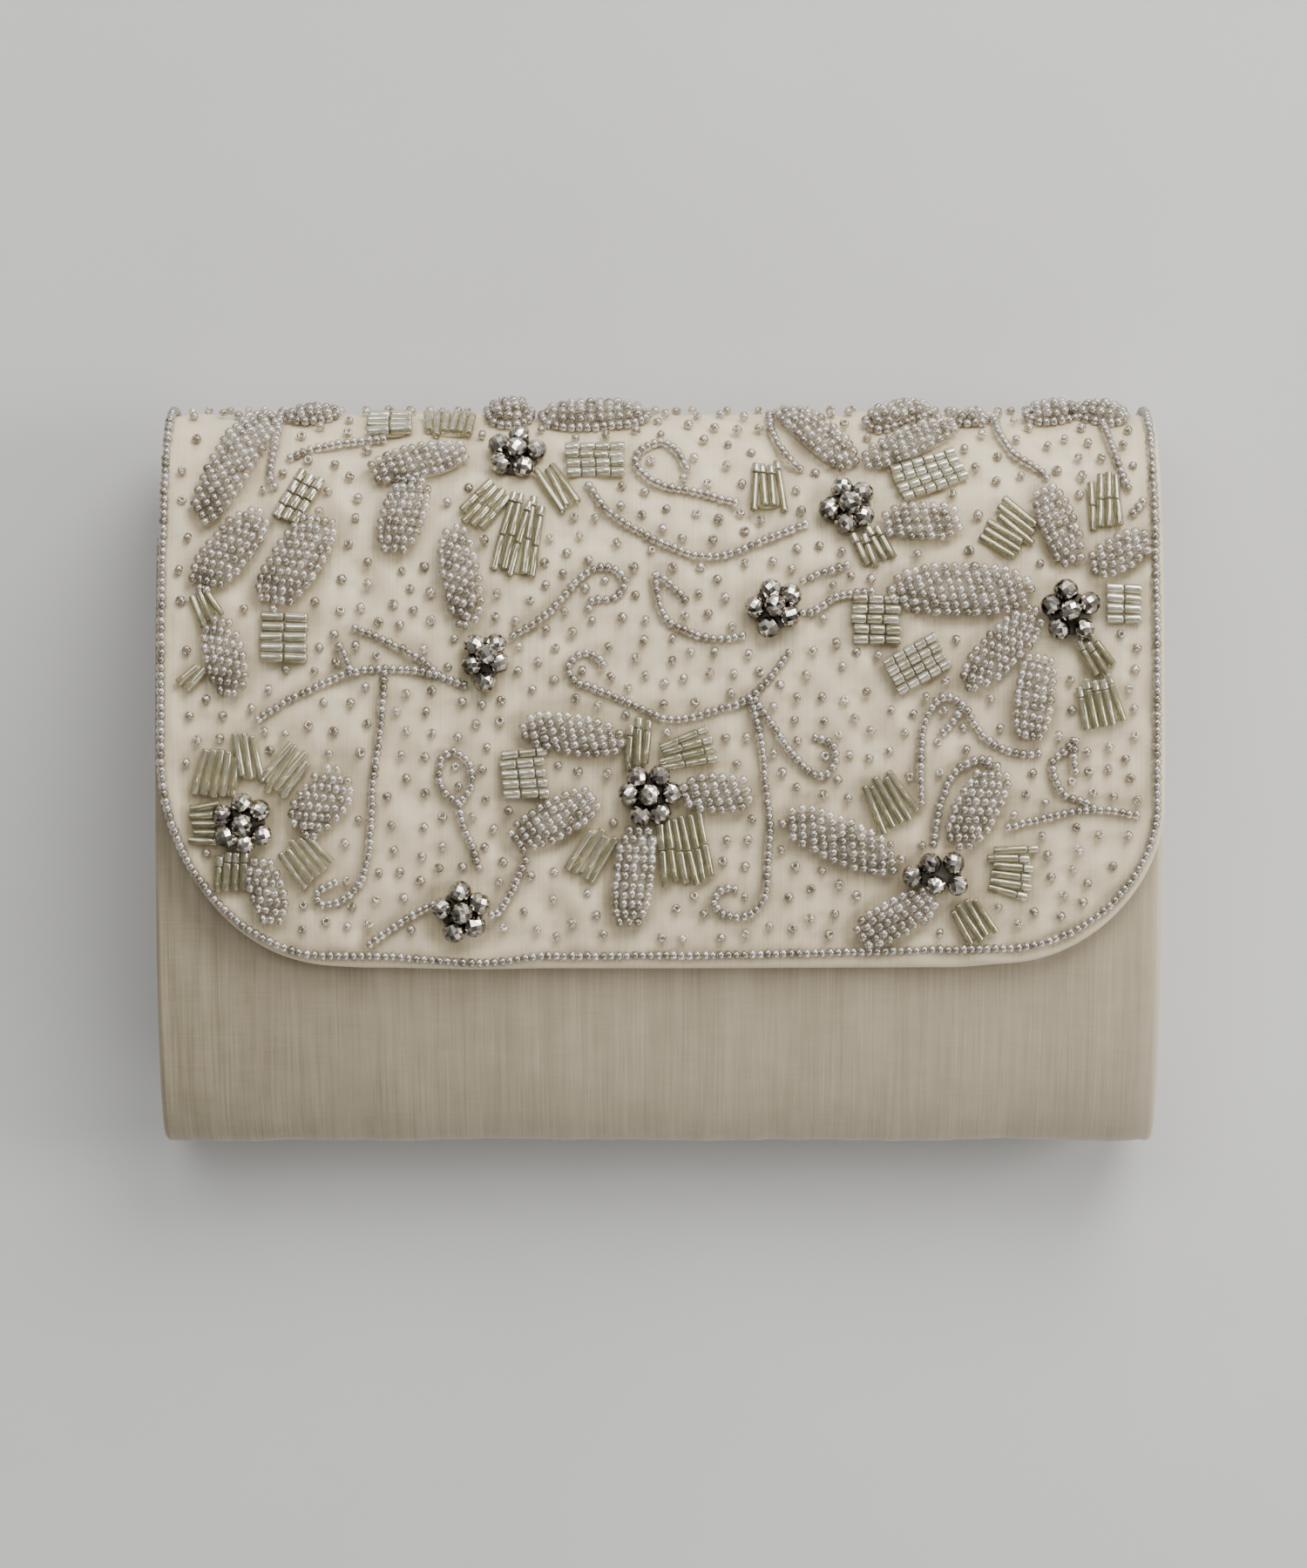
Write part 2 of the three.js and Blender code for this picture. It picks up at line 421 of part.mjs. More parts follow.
// ---- String of seed beads along the flap's edge ----
function edgePath(rest) {
  const side = (corner, sign, { side: inset, low, ease }) => {
    const up = span(FLAP_LENGTH - 0.9, corner.along + 2, 26).map((v) => [sign * (HALF - inset), v]);
    const turn = span(0, Math.PI / 2, 9).map((a) => {
      const p = Math.cos(a) ** (2 / corner.power), q = Math.sin(a) ** (2 / corner.power);
      const nx = p ** (corner.power - 1) / corner.across, nv = q ** (corner.power - 1) / corner.along, g = Math.hypot(nx, nv);
      const d = inset + (low - inset) * Math.sin(a) ** ease;
      return [sign * (HALF - corner.across + corner.across * p - (d * nx) / g), corner.along - corner.along * q + (d * nv) / g];
    });
    return [...up, ...turn];
  };
  const left = side(CORNER_LEFT, -1, EDGE_STRING.left), right = side(CORNER_RIGHT, 1, EDGE_STRING.right);
  const from = left[left.length - 1], to = right[right.length - 1];
  const bottom = span(from[0], to[0], 14).slice(1, -1).map((x) => [x, from[1] + (to[1] - from[1]) * THREE.MathUtils.smoothstep(x, 0, to[0])]);
  return [...left, ...bottom, ...right.reverse()].map(([x, v]) => place(x, waved(x, v), rest));
}

// ---- Beadwork pieces. Each takes how much it is grown, for cutting its neighbours clear ----
const ARCH = [
  // a leaf's section: share of half width, share of height
  [-1, 0], [-0.86, 0.6], [-0.42, 0.95], [0.42, 0.95], [0.86, 0.6], [1, 0], [0, 0],
];
const SLAB = [
  [-1, 0], [-1, 0.7], [-0.82, 1], [0.82, 1], [1, 0.7], [1, 0], [0, 0],
];
const LEAF_STATIONS = [
  { at: -1, wide: 0.36, high: 0.6 },
  { at: -0.7, wide: 0.82, high: 0.9 },
  { at: 0, wide: 1, high: 1 },
  { at: 0.7, wide: 0.82, high: 0.9 },
  { at: 1, wide: 0.36, high: 0.6 },
];
const BAR_STATIONS = [-1, 0, 1].map((at) => ({ at, wide: 1, high: 1 }));
// On the rolled top a leaf takes a section between each two of its stations
const ROLL_V = 88;
const finer = (list) => list.flatMap((b, i) => {
  const a = list[i - 1];
  return a ? [{ at: (a.at + b.at) / 2, wide: (a.wide + b.wide) / 2, high: (a.high + b.high) / 2 }, b] : [b];
});
function pad(x, v, angle, length, width, height, stations, section, grow) {
  const c = Math.cos(angle), s = Math.sin(angle);
  return solidOf(loft(stations.map(({ at, wide, high }) =>
    section.map(([u, h]) => {
      const t = at * (length / 2 + grow), w = u * ((width / 2) * wide + grow);
      return place(x + t * c - w * s, v + t * s + w * c, h > 0 ? REST + h * height * high + grow : REST - grow);
    }))));
}
const seat = REST + FACET_BEAD.radius;
const pinned = (x, v) => [{ x, v, h: REST + THREAD.radius }]; // where the thread passes through
function leaf([, x1, v1, x2, v2, width]) {
  const x = (x1 + x2) / 2, v = (v1 + v2) / 2, angle = Math.atan2(v2 - v1, x2 - x1), length = Math.hypot(x2 - x1, v2 - v1);
  return { pins: pinned(x, v), solid: (grow) => pad(x, v, angle, length, width, LEAF_HEIGHT, v > ROLL_V ? finer(LEAF_STATIONS) : LEAF_STATIONS, ARCH, grow) };
}
function bar([, kind, x, v, degrees, beside, inLine, length]) {
  const bead = kind === "cut" ? CUT : BUGLE;
  return { pins: pinned(x, v), solid: (grow) => pad(x, v, THREE.MathUtils.degToRad(degrees), inLine * length, beside * bead.pitch, bead.height, BAR_STATIONS, SLAB, grow) };
}
function vine([, points]) {
  return {
    pins: pinned(...points[0]),
    solid: (grow) => solidOf(tube(points.map(([x, v]) => place(x, v, REST + VINE.radius)), VINE.radius + grow)),
  };
}
function thread(a, b, grow) {
  const steps = Math.max(2, Math.ceil(Math.hypot(b.x - a.x, b.v - a.v) / THREAD.step));
  const mix = (t) => place(a.x + t * (b.x - a.x), a.v + t * (b.v - a.v), a.h + t ** 3 * (b.h - a.h));
  return solidOf(tube(span(0, 1, steps).map(mix), THREAD.radius + grow, steps, THREAD.sides));
}
// A ring bead is turned so that two of its corners meet its neighbours in the ring
const CORNER = Math.atan(2); // between the far corners of a bead and its axis
function facetBead(radius, x, v, h, turn) {
  const g = new THREE.IcosahedronGeometry(radius, 0);
  // two corners at +-58.28 degrees from -X, in the plane of the silk
  const p = g.getAttribute("position"), seen = [];
  for (let i = 0; i < p.count; i++) {
    const q = new THREE.Vector3().fromBufferAttribute(p, i).normalize();
    if (!seen.some((s) => s.distanceTo(q) < 1e-3)) seen.push(q);
  }
  const first = seen[0], second = seen.find((q) => Math.abs(q.angleTo(first) - (Math.PI - CORNER)) < 1e-3);
  const inward = first.clone().add(second).normalize().negate();
  const side = first.clone().sub(second).normalize();
  const up = new THREE.Vector3().crossVectors(inward, side);
  g.applyMatrix4(new THREE.Matrix4().makeBasis(inward, side, up).transpose());
  g.rotateZ(turn);
  g.applyMatrix4(frameAt(x, v, h));
  return solidOf(g);
}
function flower([node, x, v, count, degrees]) {
  if (!count) return bunch(node, x, v);
  const spots = span(0, 2 * Math.PI, count).slice(0, -1).map((a) => a + THREE.MathUtils.degToRad(degrees));
  const reach = FACET_BEAD.ring[count];
  const ring = spots.map((a) => ({ x: x + reach * Math.cos(a), v: v + reach * Math.sin(a), h: seat, a }));
  return {
    pins: ring, hub: true,
    solid: (grow) => {
      let all = facetBead(FACET_BEAD.middle + grow, x, v, seat + FACET_BEAD.raise, spots[0] + CORNER / 2 + Math.PI / 2);
      for (const { x: bx, v: bv, h, a } of ring) all = all.add(facetBead(FACET_BEAD.radius + grow, bx, bv, h, a));
      return all;
    },
  };
}
function bunch(node, x, v) {
  const beads = BUNCHES[node].map(([dx, dv, lift]) => ({ x: x + dx, v: v + dv, h: seat + lift, a: Math.atan2(dv, dx) }));
  return {
    pins: beads, hub: true,
    solid: (grow) => beads.reduce((all, { x: bx, v: bv, h, a }, i) => {
      const bead = facetBead(FACET_BEAD.radius + grow, bx, bv, h, a);
      return i ? all.add(bead).add(thread(beads[i - 1], beads[i], grow)) : bead;
    }, null),
  };
}

// Rows of one node are joined along their thread into one solid
const works = new Map();
function enter(row, work) {
  if (!works.has(row[0])) works.set(row[0], []);
  works.get(row[0]).push(work);
}
FLOWERS.forEach((row) => enter(row, flower(row)));
LEAVES.forEach((row) => enter(row, leaf(row)));
BARS.forEach((row) => enter(row, bar(row)));
VINES.forEach((row) => enter(row, vine(row)));

function nearestPins(work, list) {
  const pairs = list.flatMap((w) => w.pins).flatMap((b) => work.pins.map((a) => ({ a, b, d: Math.hypot(a.x - b.x, a.v - b.v) })));
  return pairs.reduce((best, q) => (q.d < best.d ? q : best));
}
function joined(list) {
  let solid = list[0].solid(0), grown = list[0].solid(CLEAR);
  list.slice(1).forEach((work, i) => {
    solid = solid.add(work.solid(0));
    grown = grown.add(work.solid(CLEAR));
    if (solid.decompose().length > 1) {
      const { a, b } = nearestPins(work, list[0].hub ? [list[0]] : list.slice(0, i + 1));
      solid = solid.add(thread(a, b, 0));
      grown = grown.add(thread(a, b, CLEAR));
    }
  });
  return { solid, grown };
}
const apart = (a, b) => [0, 1, 2].some((k) => a.min[k] > b.max[k] || b.min[k] > a.max[k]);
function largest(solid) {
  return solid.decompose().reduce((a, b) => (b.volume() > a.volume() ? b : a));
}

// ---- Assembly ----
const bag = new THREE.Group();
bag.name = "beaded_evening_bag";
function add(name, geometry, color, roughness, metalness) {
  const mesh = new THREE.Mesh(geometry, new THREE.MeshStandardMaterial({ color, roughness, metalness }));
  mesh.name = name;
  bag.add(mesh);
  return mesh;
}
const SILK_BODY = 0xa99d86, SILK_FLAP = 0xcfc6b4, SEED = 0xb9b2a4, BUGLES = 0xb3a986, FACETS = 0x8d8983, METAL = 0xb8b3a8;

add("body_shell", bodyShell(), SILK_BODY, 0.55, 0);
for (const [name, side] of [["gusset_left", -1], ["gusset_right", 1]])
  add(name, gusset(), SILK_BODY, 0.55, 0).position.x = side * (BODY_WIDTH / 2 - GUSSET_INSET - GUSSET_WALL / 2);
add("flap", flap(), SILK_FLAP, 0.5, 0);
add("flap_snap", flapSnap(), METAL, 0.3, 1);

const edgeString = (grow) => tube(edgePath(EDGE_STRING.rest + EDGE_STRING.radius), EDGE_STRING.radius + grow, EDGE_STRING.steps);
add("edge_bead_string", bare(edgeString(0)), SEED, 0.2, 0.6);

const settled = [solidOf(edgeString(CLEAR))];
const ORDER = ["flower", "leaf", "bugle", "vine"];
const LOOKS = { flower: [FACETS, 0.12, 0.9], leaf: [SEED, 0.2, 0.6], bugle: [BUGLES, 0.2, 0.5], vine: [SEED, 0.2, 0.6] };
for (const kind of ORDER)
  for (const [name, list] of works) {
    if (!name.startsWith(kind)) continue;
    const { solid, grown } = joined(list);
    let kept = solid;
    for (const other of settled) if (!apart(kept.boundingBox(), other.boundingBox())) kept = kept.subtract(other);
    settled.push(grown);
    const one = largest(kept);
    add(name, tidy(geometryOf(one)), ...LOOKS[kind]);
  }

// The bag lies on the floor, its box centred on the origin
bag.updateMatrixWorld(true);
const box = new THREE.Box3().setFromObject(bag);
bag.position.set(-(box.min.x + box.max.x) / 2, -(box.min.y + box.max.y) / 2, -box.min.z);

export default bag;
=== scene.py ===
# Beaded evening bag: looks of the padded silk clutch and its beadwork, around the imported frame.
# Sizes are in millimetres until a mesh is made; meshes are in metres.
import math

import bpy
import numpy as np
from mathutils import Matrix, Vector
from mathutils.kdtree import KDTree


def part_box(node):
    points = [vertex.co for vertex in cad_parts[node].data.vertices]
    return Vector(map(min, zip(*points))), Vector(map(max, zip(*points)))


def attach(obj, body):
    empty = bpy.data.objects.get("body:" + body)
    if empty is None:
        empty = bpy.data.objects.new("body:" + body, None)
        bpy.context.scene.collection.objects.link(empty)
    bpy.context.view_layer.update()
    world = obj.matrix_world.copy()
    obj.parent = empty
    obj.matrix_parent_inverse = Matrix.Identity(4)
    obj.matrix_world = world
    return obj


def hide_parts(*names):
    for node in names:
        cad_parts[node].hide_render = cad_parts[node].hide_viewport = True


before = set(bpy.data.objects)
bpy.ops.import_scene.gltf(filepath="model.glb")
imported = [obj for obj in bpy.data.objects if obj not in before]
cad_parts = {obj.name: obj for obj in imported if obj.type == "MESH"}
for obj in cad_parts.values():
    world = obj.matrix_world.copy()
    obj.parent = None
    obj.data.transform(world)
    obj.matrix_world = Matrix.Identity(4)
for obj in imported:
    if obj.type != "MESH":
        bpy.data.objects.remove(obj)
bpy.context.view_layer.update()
MM = 0.001

# ---- Cloth sizes, as in the part ----
BODY_WIDTH, FLAP_WIDTH = 193.0, 193.0
BODY_WALL, FLAP_WALL, FLAP_LAY = 2.4, 3.0, 4.6
GUSSET_WALL, GUSSET_INSET, SEWN_GAP, SEWN_LAP = 2.0, 1.5, 0.35, 0.3
CROWN_Y, TIP_Z, FRONT_RISE = 8.0, 17.0, 23.2
TOP_REACH, TOP_POWER = 58.4, 2.4
BOTTOM_REACH, BOTTOM_POWER = 79.0, 2.1
BACK_LOW_Y, BACK_HIGH_Y, MOUTH_Y, SEAM_Z = -46.0, 44.0, 46.0, 6.0
GUSSET_TOP_Y, GUSSET_BACK_Y = 44.0, 58.0
TOP_TIP_Y = CROWN_Y + TOP_REACH + FLAP_LAY
BOTTOM_TIP_Y = CROWN_Y - BOTTOM_REACH
FLAP_LOW_Y = -36.5
CORNER_LEFT, CORNER_RIGHT = (32.0, 40.0, 1.9), (30.0, 30.5, 1.85)  # across, along, power
WAVE_X = [-71, -56, -34, -22, 0, 55, 69]
STRING_DROP = [0.0, 0.15, 2.0, 0.1, 0.0, -0.1, -0.4]
HEM_DROP = [0.1, 0.8, 1.15, 0.95, 0.95, 0.75, -0.1]
WAVE_FADE = 14.0
LEFT_OUT = 1.0  # the soft left side of the body stands out this much
HALF = FLAP_WIDTH / 2
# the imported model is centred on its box, so the profile is moved along Y with it
SHIFT_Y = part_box("body_shell")[0][1] / MM - BOTTOM_TIP_Y

# ---- Bead sizes ----
VINE_R, VINE_PITCH = 0.90, 1.42
EDGE_R, EDGE_PITCH = 0.92, 1.50
EDGE_LEFT, EDGE_RIGHT = (0.8, 2.0, 2.6), (1.7, 3.2, 2.0)  # in from the side, up from the lower edge, how soon it changes in the corner
ROW_PITCH, ROW_BEAD = 1.80, 1.50  # between rows of a leaf, and between the beads of a row
BUGLE_PITCH, BUGLE_R = 1.65, 0.82
CUT_PITCH, CUT_R = 1.95, 0.98
FACET_R, RING_R, MIDDLE_RAISE = 2.12, 4.02, 1.3

# ---- Beadwork chart on the outside of the flap: x across, v along the flap from its lower edge ----
# node, from (x1, v1), to (x2, v2), width, direction of its bead rows in degrees, and any extra height
LEAVES = [
    ("leaf_01", -88.8, 84.2, -76.0, 113.2, 9.0, -62),
    ("leaf_01", -89.4, 72.2, -76.2, 87.5, 9.2, -16),
    ("leaf_01", -81.3, 51.6, -85.6, 66.8, 8.4, -12),
    ("leaf_02", -76.2, 68.4, -63.6, 87.3, 10.4, -8),
    ("leaf_03", -52.3, 79.0, -46.7, 94.8, 9.2, -4),
    ("leaf_03", -57.1, 95.4, -36.6, 100.6, 7.8, -66),
    ("leaf_04", -36.5, 64.4, -40.3, 84.9, 8.0, -24),
    ("leaf_05", -72.2, 112.0, -63.6, 114.5, 6.0, -80),
    ("leaf_06", -23.3, 111.4, -2.5, 113.6, 9.6, -88, 0.9),
    ("leaf_07", 22.6, 115.0, 37.4, 95.8, 8.4, 30),
    ("leaf_07", 38.4, 97.0, 58.0, 108.2, 7.2, -76),
    ("leaf_07", 40.4, 108.0, 52.5, 117.0, 6.5, -70, 0.9),
    ("leaf_07", 57.5, 110.5, 63.0, 111.5, 4.0, -80),
    ("leaf_08", 41.8, 85.4, 58.3, 85.4, 8.0, -76),
    ("leaf_09", 42.9, 72.2, 71.7, 71.9, 10.8, -74),
    ("leaf_10", 79.2, 75.8, 73.2, 93.6, 7.8, 26),
    ("leaf_11", 82.0, 75.6, 93.6, 82.6, 7.4, -82),
    ("leaf_12", 57.5, 53.4, 72.7, 68.2, 8.3, -18),
    ("leaf_13", 70.1, 42.2, 72.5, 60.9, 8.2, -14),
    ("leaf_14", 71.6, 112.0, 81.8, 115.0, 7.0, -84, 0.8),
    ("leaf_14", 81.0, 115.0, 90.3, 111.5, 7.0, 70, 0.8),
    ("leaf_15", -70.0, 26.0, -60.0, 37.1, 10.0, -6),
    ("leaf_16", -73.4, 8.1, -77.5, 21.0, 7.5, -8),
    ("leaf_17", -27.3, 46.3, -6.7, 42.6, 8.3, -76),
    ("leaf_18", -29.4, 23.3, -11.6, 33.2, 8.4, -54),
    ("leaf_19", -6.6, 6.6, -4.0, 28.2, 8.5, -2),
    ("leaf_20", 3.3, 33.5, 17.8, 33.0, 8.0, -72),
    ("leaf_21", 22.7, 29.4, 46.5, 19.0, 9.3, -86),
    ("leaf_22", 56.0, 22.8, 65.1, 38.8, 9.2, -4),
    ("leaf_23", 36.9, 5.4, 52.9, 13.6, 8.3, -50),
    ("flower_1", -29.6, 108.5, -29.6, 119.5, 8.4, -80, 0.9),
]
# node, kind, centre (x, v), direction in degrees, beads side by side, cells in line, whole length, short bright end bead (-1 start, 1 end, 0 none), fan in degrees, lighter or darker glass
BARS = [
    ("bugle_bar_1", "cut", -53.0, 109.0, 0, 4, 2, 8.8, 0, 0, 1),
    ("bugle_bar_2", "bugle", 20.5, 92.9, -85, 4, 1, 10.0, -1, 2, 0),
    ("bugle_bar_3", "bugle", 66.7, 83.9, -37, 6, 1, 8.1, 0, -2, 0),
    ("bugle_bar_4", "bugle", 85.3, 89.3, -88, 4, 2, 10.4, 0, 2, 0),
    ("leaf_01", "bugle", -87.4, 69.2, -64, 3, 1, 6.0, 0, 6, 0),
    ("leaf_01", "bugle", -89.6, 55.6, 42, 2, 1, 5.6, 0, 0, 2),
    ("leaf_02", "cut", -69.8, 90.5, 61, 3, 4, 10.79, 0, 0, -1),
    ("leaf_02", "cut", -72.2, 63.0, -2, 5, 2, 9.2, 0, 0, 0),
    ("leaf_03", "bugle", -41.2, 109.0, 90, 6, 1, 8.0, 0, 4, 1),
    ("leaf_06", "cut", -12.8, 98.7, 1, 4, 4, 11.5, 0, 0, 1),
    ("leaf_07", "cut", 51.4, 95.4, 20, 4, 6, 13.8, 0, 0, 2),
    ("leaf_09", "cut", 41.2, 66.4, -1, 5, 3, 9.2, 0, 0, -2),
    ("leaf_12", "cut", 48.8, 57.9, 30, 4, 5, 11.5, 0, 0, 1),
    ("leaf_17", "cut", -26.1, 37.0, 3, 5, 2, 8.8, 1, 3, 0),
    ("leaf_18", "bugle", -13.3, 21.7, 62, 4, 1, 9.6, 0, -3, 2),
    ("leaf_21", "bugle", 43.6, 31.5, -60, 5, 1, 9.9, 0, 3, 0),
    ("flower_1", "bugle", -34.0, 88.9, 52, 4, 2, 9.0, 0, -3, 1),
    ("flower_1", "bugle", -27.1, 82.8, 79, 5, 2, 16.0, 1, -3, -1),
    ("flower_1", "bugle", -20.1, 92.7, -57, 3, 1, 10.1, 0, 2, 1),
    ("flower_2", "bugle", 40.6, 80.4, -67, 4, 1, 7.2, -1, 5, -2),
    ("flower_4", "cut", 88.4, 69.4, -2, 4, 2, 6.9, 0, 0, 1),
    ("flower_4", "bugle", 83.0, 59.5, -58, 3, 1, 7.9, -1, 4, -1),
    ("flower_4", "bugle", 83.8, 50.1, -77, 5, 1, 9.3, -1, 3, 0),
    ("flower_6", "bugle", -84.9, 37.1, 80, 5, 1, 8.9, 0, -3, 2),
    ("flower_6", "bugle", -79.1, 39.9, -80, 3, 1, 9.0, 0, 3, 2),
    ("flower_6", "bugle", -71.9, 37.6, 54, 4, 1, 9.7, 0, -2, 3),
    ("flower_6", "bugle", -87.6, 27.3, 3, 5, 1, 5.6, 0, 3, -1),
    ("flower_6", "bugle", -82.3, 18.5, 86, 4, 1, 7.2, 1, -3, -1),
    ("flower_6", "bugle", -68.2, 20.7, -52, 5, 1, 8.3, 0, 3, 3),
    ("flower_7", "bugle", -4.5, 42.9, 87, 3, 1, 8.9, 1, 0, -1),
    ("flower_7", "bugle", 4.7, 41.3, 14, 4, 2, 10.5, 1, 4, 0),
    ("flower_7", "bugle", 4.2, 22.7, -82, 6, 2, 12.6, 0, 2, 0),
    ("flower_9", "bugle", 67.0, 18.3, -6, 6, 1, 8.0, 1, 5, 0),
    ("flower_9", "bugle", 59.6, 8.9, -56, 4, 1, 8.5, 0, 4, 0),
]
# node, centre (x, v), beads in its ring, turn of the ring in degrees
FLOWERS = [
    ("flower_1", -27.9, 99.7, 5, 5),
    ("flower_2", 36.2, 88.4, 5, 44),
    ("flower_3", 21.7, 68.7, 5, 38),
    ("flower_4", 78.2, 67.7, 5, 20),
    ("flower_5", -33.5, 58.6, 0, 0),
    ("flower_6", -80.0, 27.3, 6, 33),
    ("flower_7", -2.3, 33.0, 6, 0),
    ("flower_8", -38.2, 10.5, 5, 25),
    ("flower_9", 53.0, 18.0, 0, 0),
]
# the two flowers that are bunches: their cushion from the centre (x, v) and its half sizes, and their beads (x, v, height)
BUNCHES = {
    "flower_5": ((0.0, 0.3, 2.9, 4.1), [(-2.2, 2.8, 0.0), (2.0, 3.1, 0.0), (-2.7, -1.0, 0.0), (2.5, -0.6, 0.1), (-0.3, -4.2, 0.1), (0.1, 0.9, 1.6)]),
    "flower_9": ((-0.3, -0.2, 4.7, 2.6), [(-5.0, -0.5, 0.0), (-1.6, 1.9, 0.0), (2.9, 2.0, 0.0), (-0.5, -2.2, 0.5), (3.7, -2.2, 0.3)]),
}
# node, turning points (x, v)
VINES = [
    ("vine_01", [(-74.2, 116.0), (-74.5, 107.0), (-75.1, 99.8), (-75.4, 95.4), (-74.3, 92.2)]),
    ("vine_02", [(-72.4, 99.1), (-66.6, 101.6), (-60.6, 103.0), (-53.2, 104.1)]),
    ("vine_03", [(5.1, 96.1), (2.9, 100.8), (0.0, 103.2), (-3.7, 101.2), (-5.0, 98.7), (-3.3, 95.4), (0.8, 92.9), (7.1, 91.6), (14.9, 89.3)]),
    ("vine_04", [(-14.3, 93.6), (-10.9, 88.4), (-5.0, 84.0), (0.8, 81.1), (7.0, 78.8), (13.4, 79.3), (20.7, 82.3), (28.3, 85.4)]),
    ("vine_05", [(-29.0, 63.0), (-24.0, 65.9), (-19.8, 69.7), (-16.2, 73.9), (-12.0, 76.5), (-8.3, 75.9), (-7.0, 73.1), (-9.2, 70.5), (-13.3, 70.0), (-14.2, 68.0)]),
    ("vine_06", [(-1.3, 75.6), (-0.8, 71.4), (0.8, 66.7), (5.0, 64.2), (10.3, 62.7), (16.2, 63.4)]),
    ("vine_06", [(-1.3, 75.6), (2.0, 73.1), (5.0, 69.7)]),
    ("vine_07", [(24.8, 60.7), (21.5, 56.2), (17.0, 51.6), (9.2, 48.7), (1.7, 47.4), (-5.0, 49.9), (-11.7, 52.9), (-16.7, 54.9), (-17.8, 57.4), (-15.0, 59.9), (-12.0, 59.0), (-10.8, 57.0)]),
    ("vine_07", [(17.0, 51.6), (19.0, 43.4), (19.8, 35.1), (20.7, 26.5), (20.3, 19.0), (19.5, 12.6), (16.5, 9.8), (12.5, 9.8), (10.0, 12.3), (11.7, 14.8), (14.8, 14.8)]),
    ("vine_07", [(17.5, 51.6), (22.3, 44.6), (25.6, 40.1), (30.0, 36.5), (33.1, 38.8), (32.8, 42.4), (28.6, 44.3)]),
    ("vine_08", [(-77.8, 47.1), (-72.4, 50.4), (-65.8, 53.7), (-60.0, 56.2), (-53.3, 57.0), (-47.1, 56.7), (-42.1, 55.4), (-37.1, 53.7)]),
    ("vine_08", [(-59.3, 65.0), (-52.5, 62.2), (-46.3, 58.9), (-42.1, 55.4)]),
    ("vine_08", [(-62.0, 61.9), (-60.6, 59.5), (-59.5, 56.2)]),
    ("vine_08", [(-53.0, 56.9), (-53.8, 44.9), (-55.0, 36.8), (-55.5, 28.5), (-56.2, 21.0), (-58.0, 15.6), (-61.7, 12.6), (-65.4, 12.0), (-65.9, 14.3), (-61.7, 16.5)]),
    ("vine_09", [(-38.5, 31.0), (-42.1, 34.6), (-42.1, 39.6), (-40.1, 41.3), (-37.1, 39.3), (-36.3, 35.1), (-38.5, 31.0), (-38.0, 27.3), (-36.3, 23.2), (-34.8, 18.3)]),
    ("vine_10", [(49.6, 30.6), (49.6, 39.6), (50.1, 45.6), (52.0, 50.2), (54.6, 51.7), (57.5, 50.2), (58.8, 48.2), (61.9, 43.8), (65.6, 41.6), (69.3, 40.7), (72.8, 41.0)]),
    ("vine_10", [(57.5, 50.2), (56.0, 47.4), (53.3, 44.3)]),
    ("vine_11", [(52.0, 22.8), (52.8, 28.8), (54.3, 34.1), (56.5, 37.8), (60.6, 39.6), (63.4, 39.3)]),
    ("vine_12", [(65.6, 26.5), (72.5, 28.3), (78.5, 29.6), (84.8, 30.1), (90.3, 29.1), (91.6, 29.0)]),
    ("vine_12", [(79.4, 43.8), (77.1, 41.4), (74.8, 39.3), (75.3, 36.0), (77.1, 32.8), (81.1, 31.5), (83.1, 30.1)]),
    ("vine_12", [(79.4, 43.8), (78.8, 40.3), (79.3, 36.6)]),
    ("vine_13", [(21.2, 114.5), (21.5, 105.9), (23.9, 100.1), (27.2, 96.1)]),
    ("vine_14", [(64.7, 112.2), (65.8, 105.1), (68.2, 100.1), (72.3, 96.9), (74.7, 94.2)]),
    ("vine_15", [(85.8, 109.1), (87.2, 102.1), (88.4, 96.9), (90.1, 91.8)]),
    ("flower_3", [(26.5, 73.6), (28.7, 74.6), (36.1, 77.3)]),
    ("flower_3", [(26.5, 67.4), (29.2, 68.2), (33.7, 70.9), (41.0, 71.9)]),
    ("flower_8", [(-43.2, 12.3), (-49.4, 8.9), (-53.4, 6.1), (-56.5, 3.9)]),
    ("flower_8", [(-33.2, 9.6), (-31.2, 10.6), (-29.0, 14.0), (-27.0, 18.2), (-25.7, 21.0)]),
    ("bugle_bar_4", [(93.2, 90.2), (90.2, 86.8)]),
]
# where the loose seed beads stand further apart: centre (x, v), reach, extra spacing
SPARSE = [(-88, 100, 16, 3.0), (-70, 78, 14, 2.2), (-45, 92, 16, 1.2), (60, 90, 22, 1.4), (62, 64, 18, 1.2), (10, 104, 16, 0.6), (-88, 62, 10, 3.0)]
SCATTER_SPACE, SCATTER_CLEAR, SCATTER_EDGE = 3.75, 2.1, 3.8

rng = np.random.default_rng(11)


# ---- Profile curves: rows of y, z, ny, nz with outward normals ----
def quarter(reach, power, side, a):
    c, s = np.maximum(np.cos(a), 0), np.maximum(np.sin(a), 0)
    y, z = reach * c ** (2 / power), FRONT_RISE * s ** (2 / power)
    gy = power / reach * (y / reach) ** (power - 1)
    gz = power / FRONT_RISE * (z / FRONT_RISE) ** (power - 1)
    g = np.hypot(gy, gz)
    return np.stack([CROWN_Y + side * y, TIP_Z + z, side * gy / g, gz / g], 1)


def back_corner(flat_y, tip_y, a):
    reach = tip_y - flat_y
    ny, nz = np.sin(a) / reach, -np.cos(a) / TIP_Z
    g = np.hypot(ny, nz)
    return np.stack([flat_y + reach * np.sin(a), TIP_Z - TIP_Z * np.cos(a), ny / g, nz / g], 1)


def moved(line, d):
    out = line.copy()
    out[:, 0] += d * line[:, 2]
    out[:, 1] += d * line[:, 3]
    return out


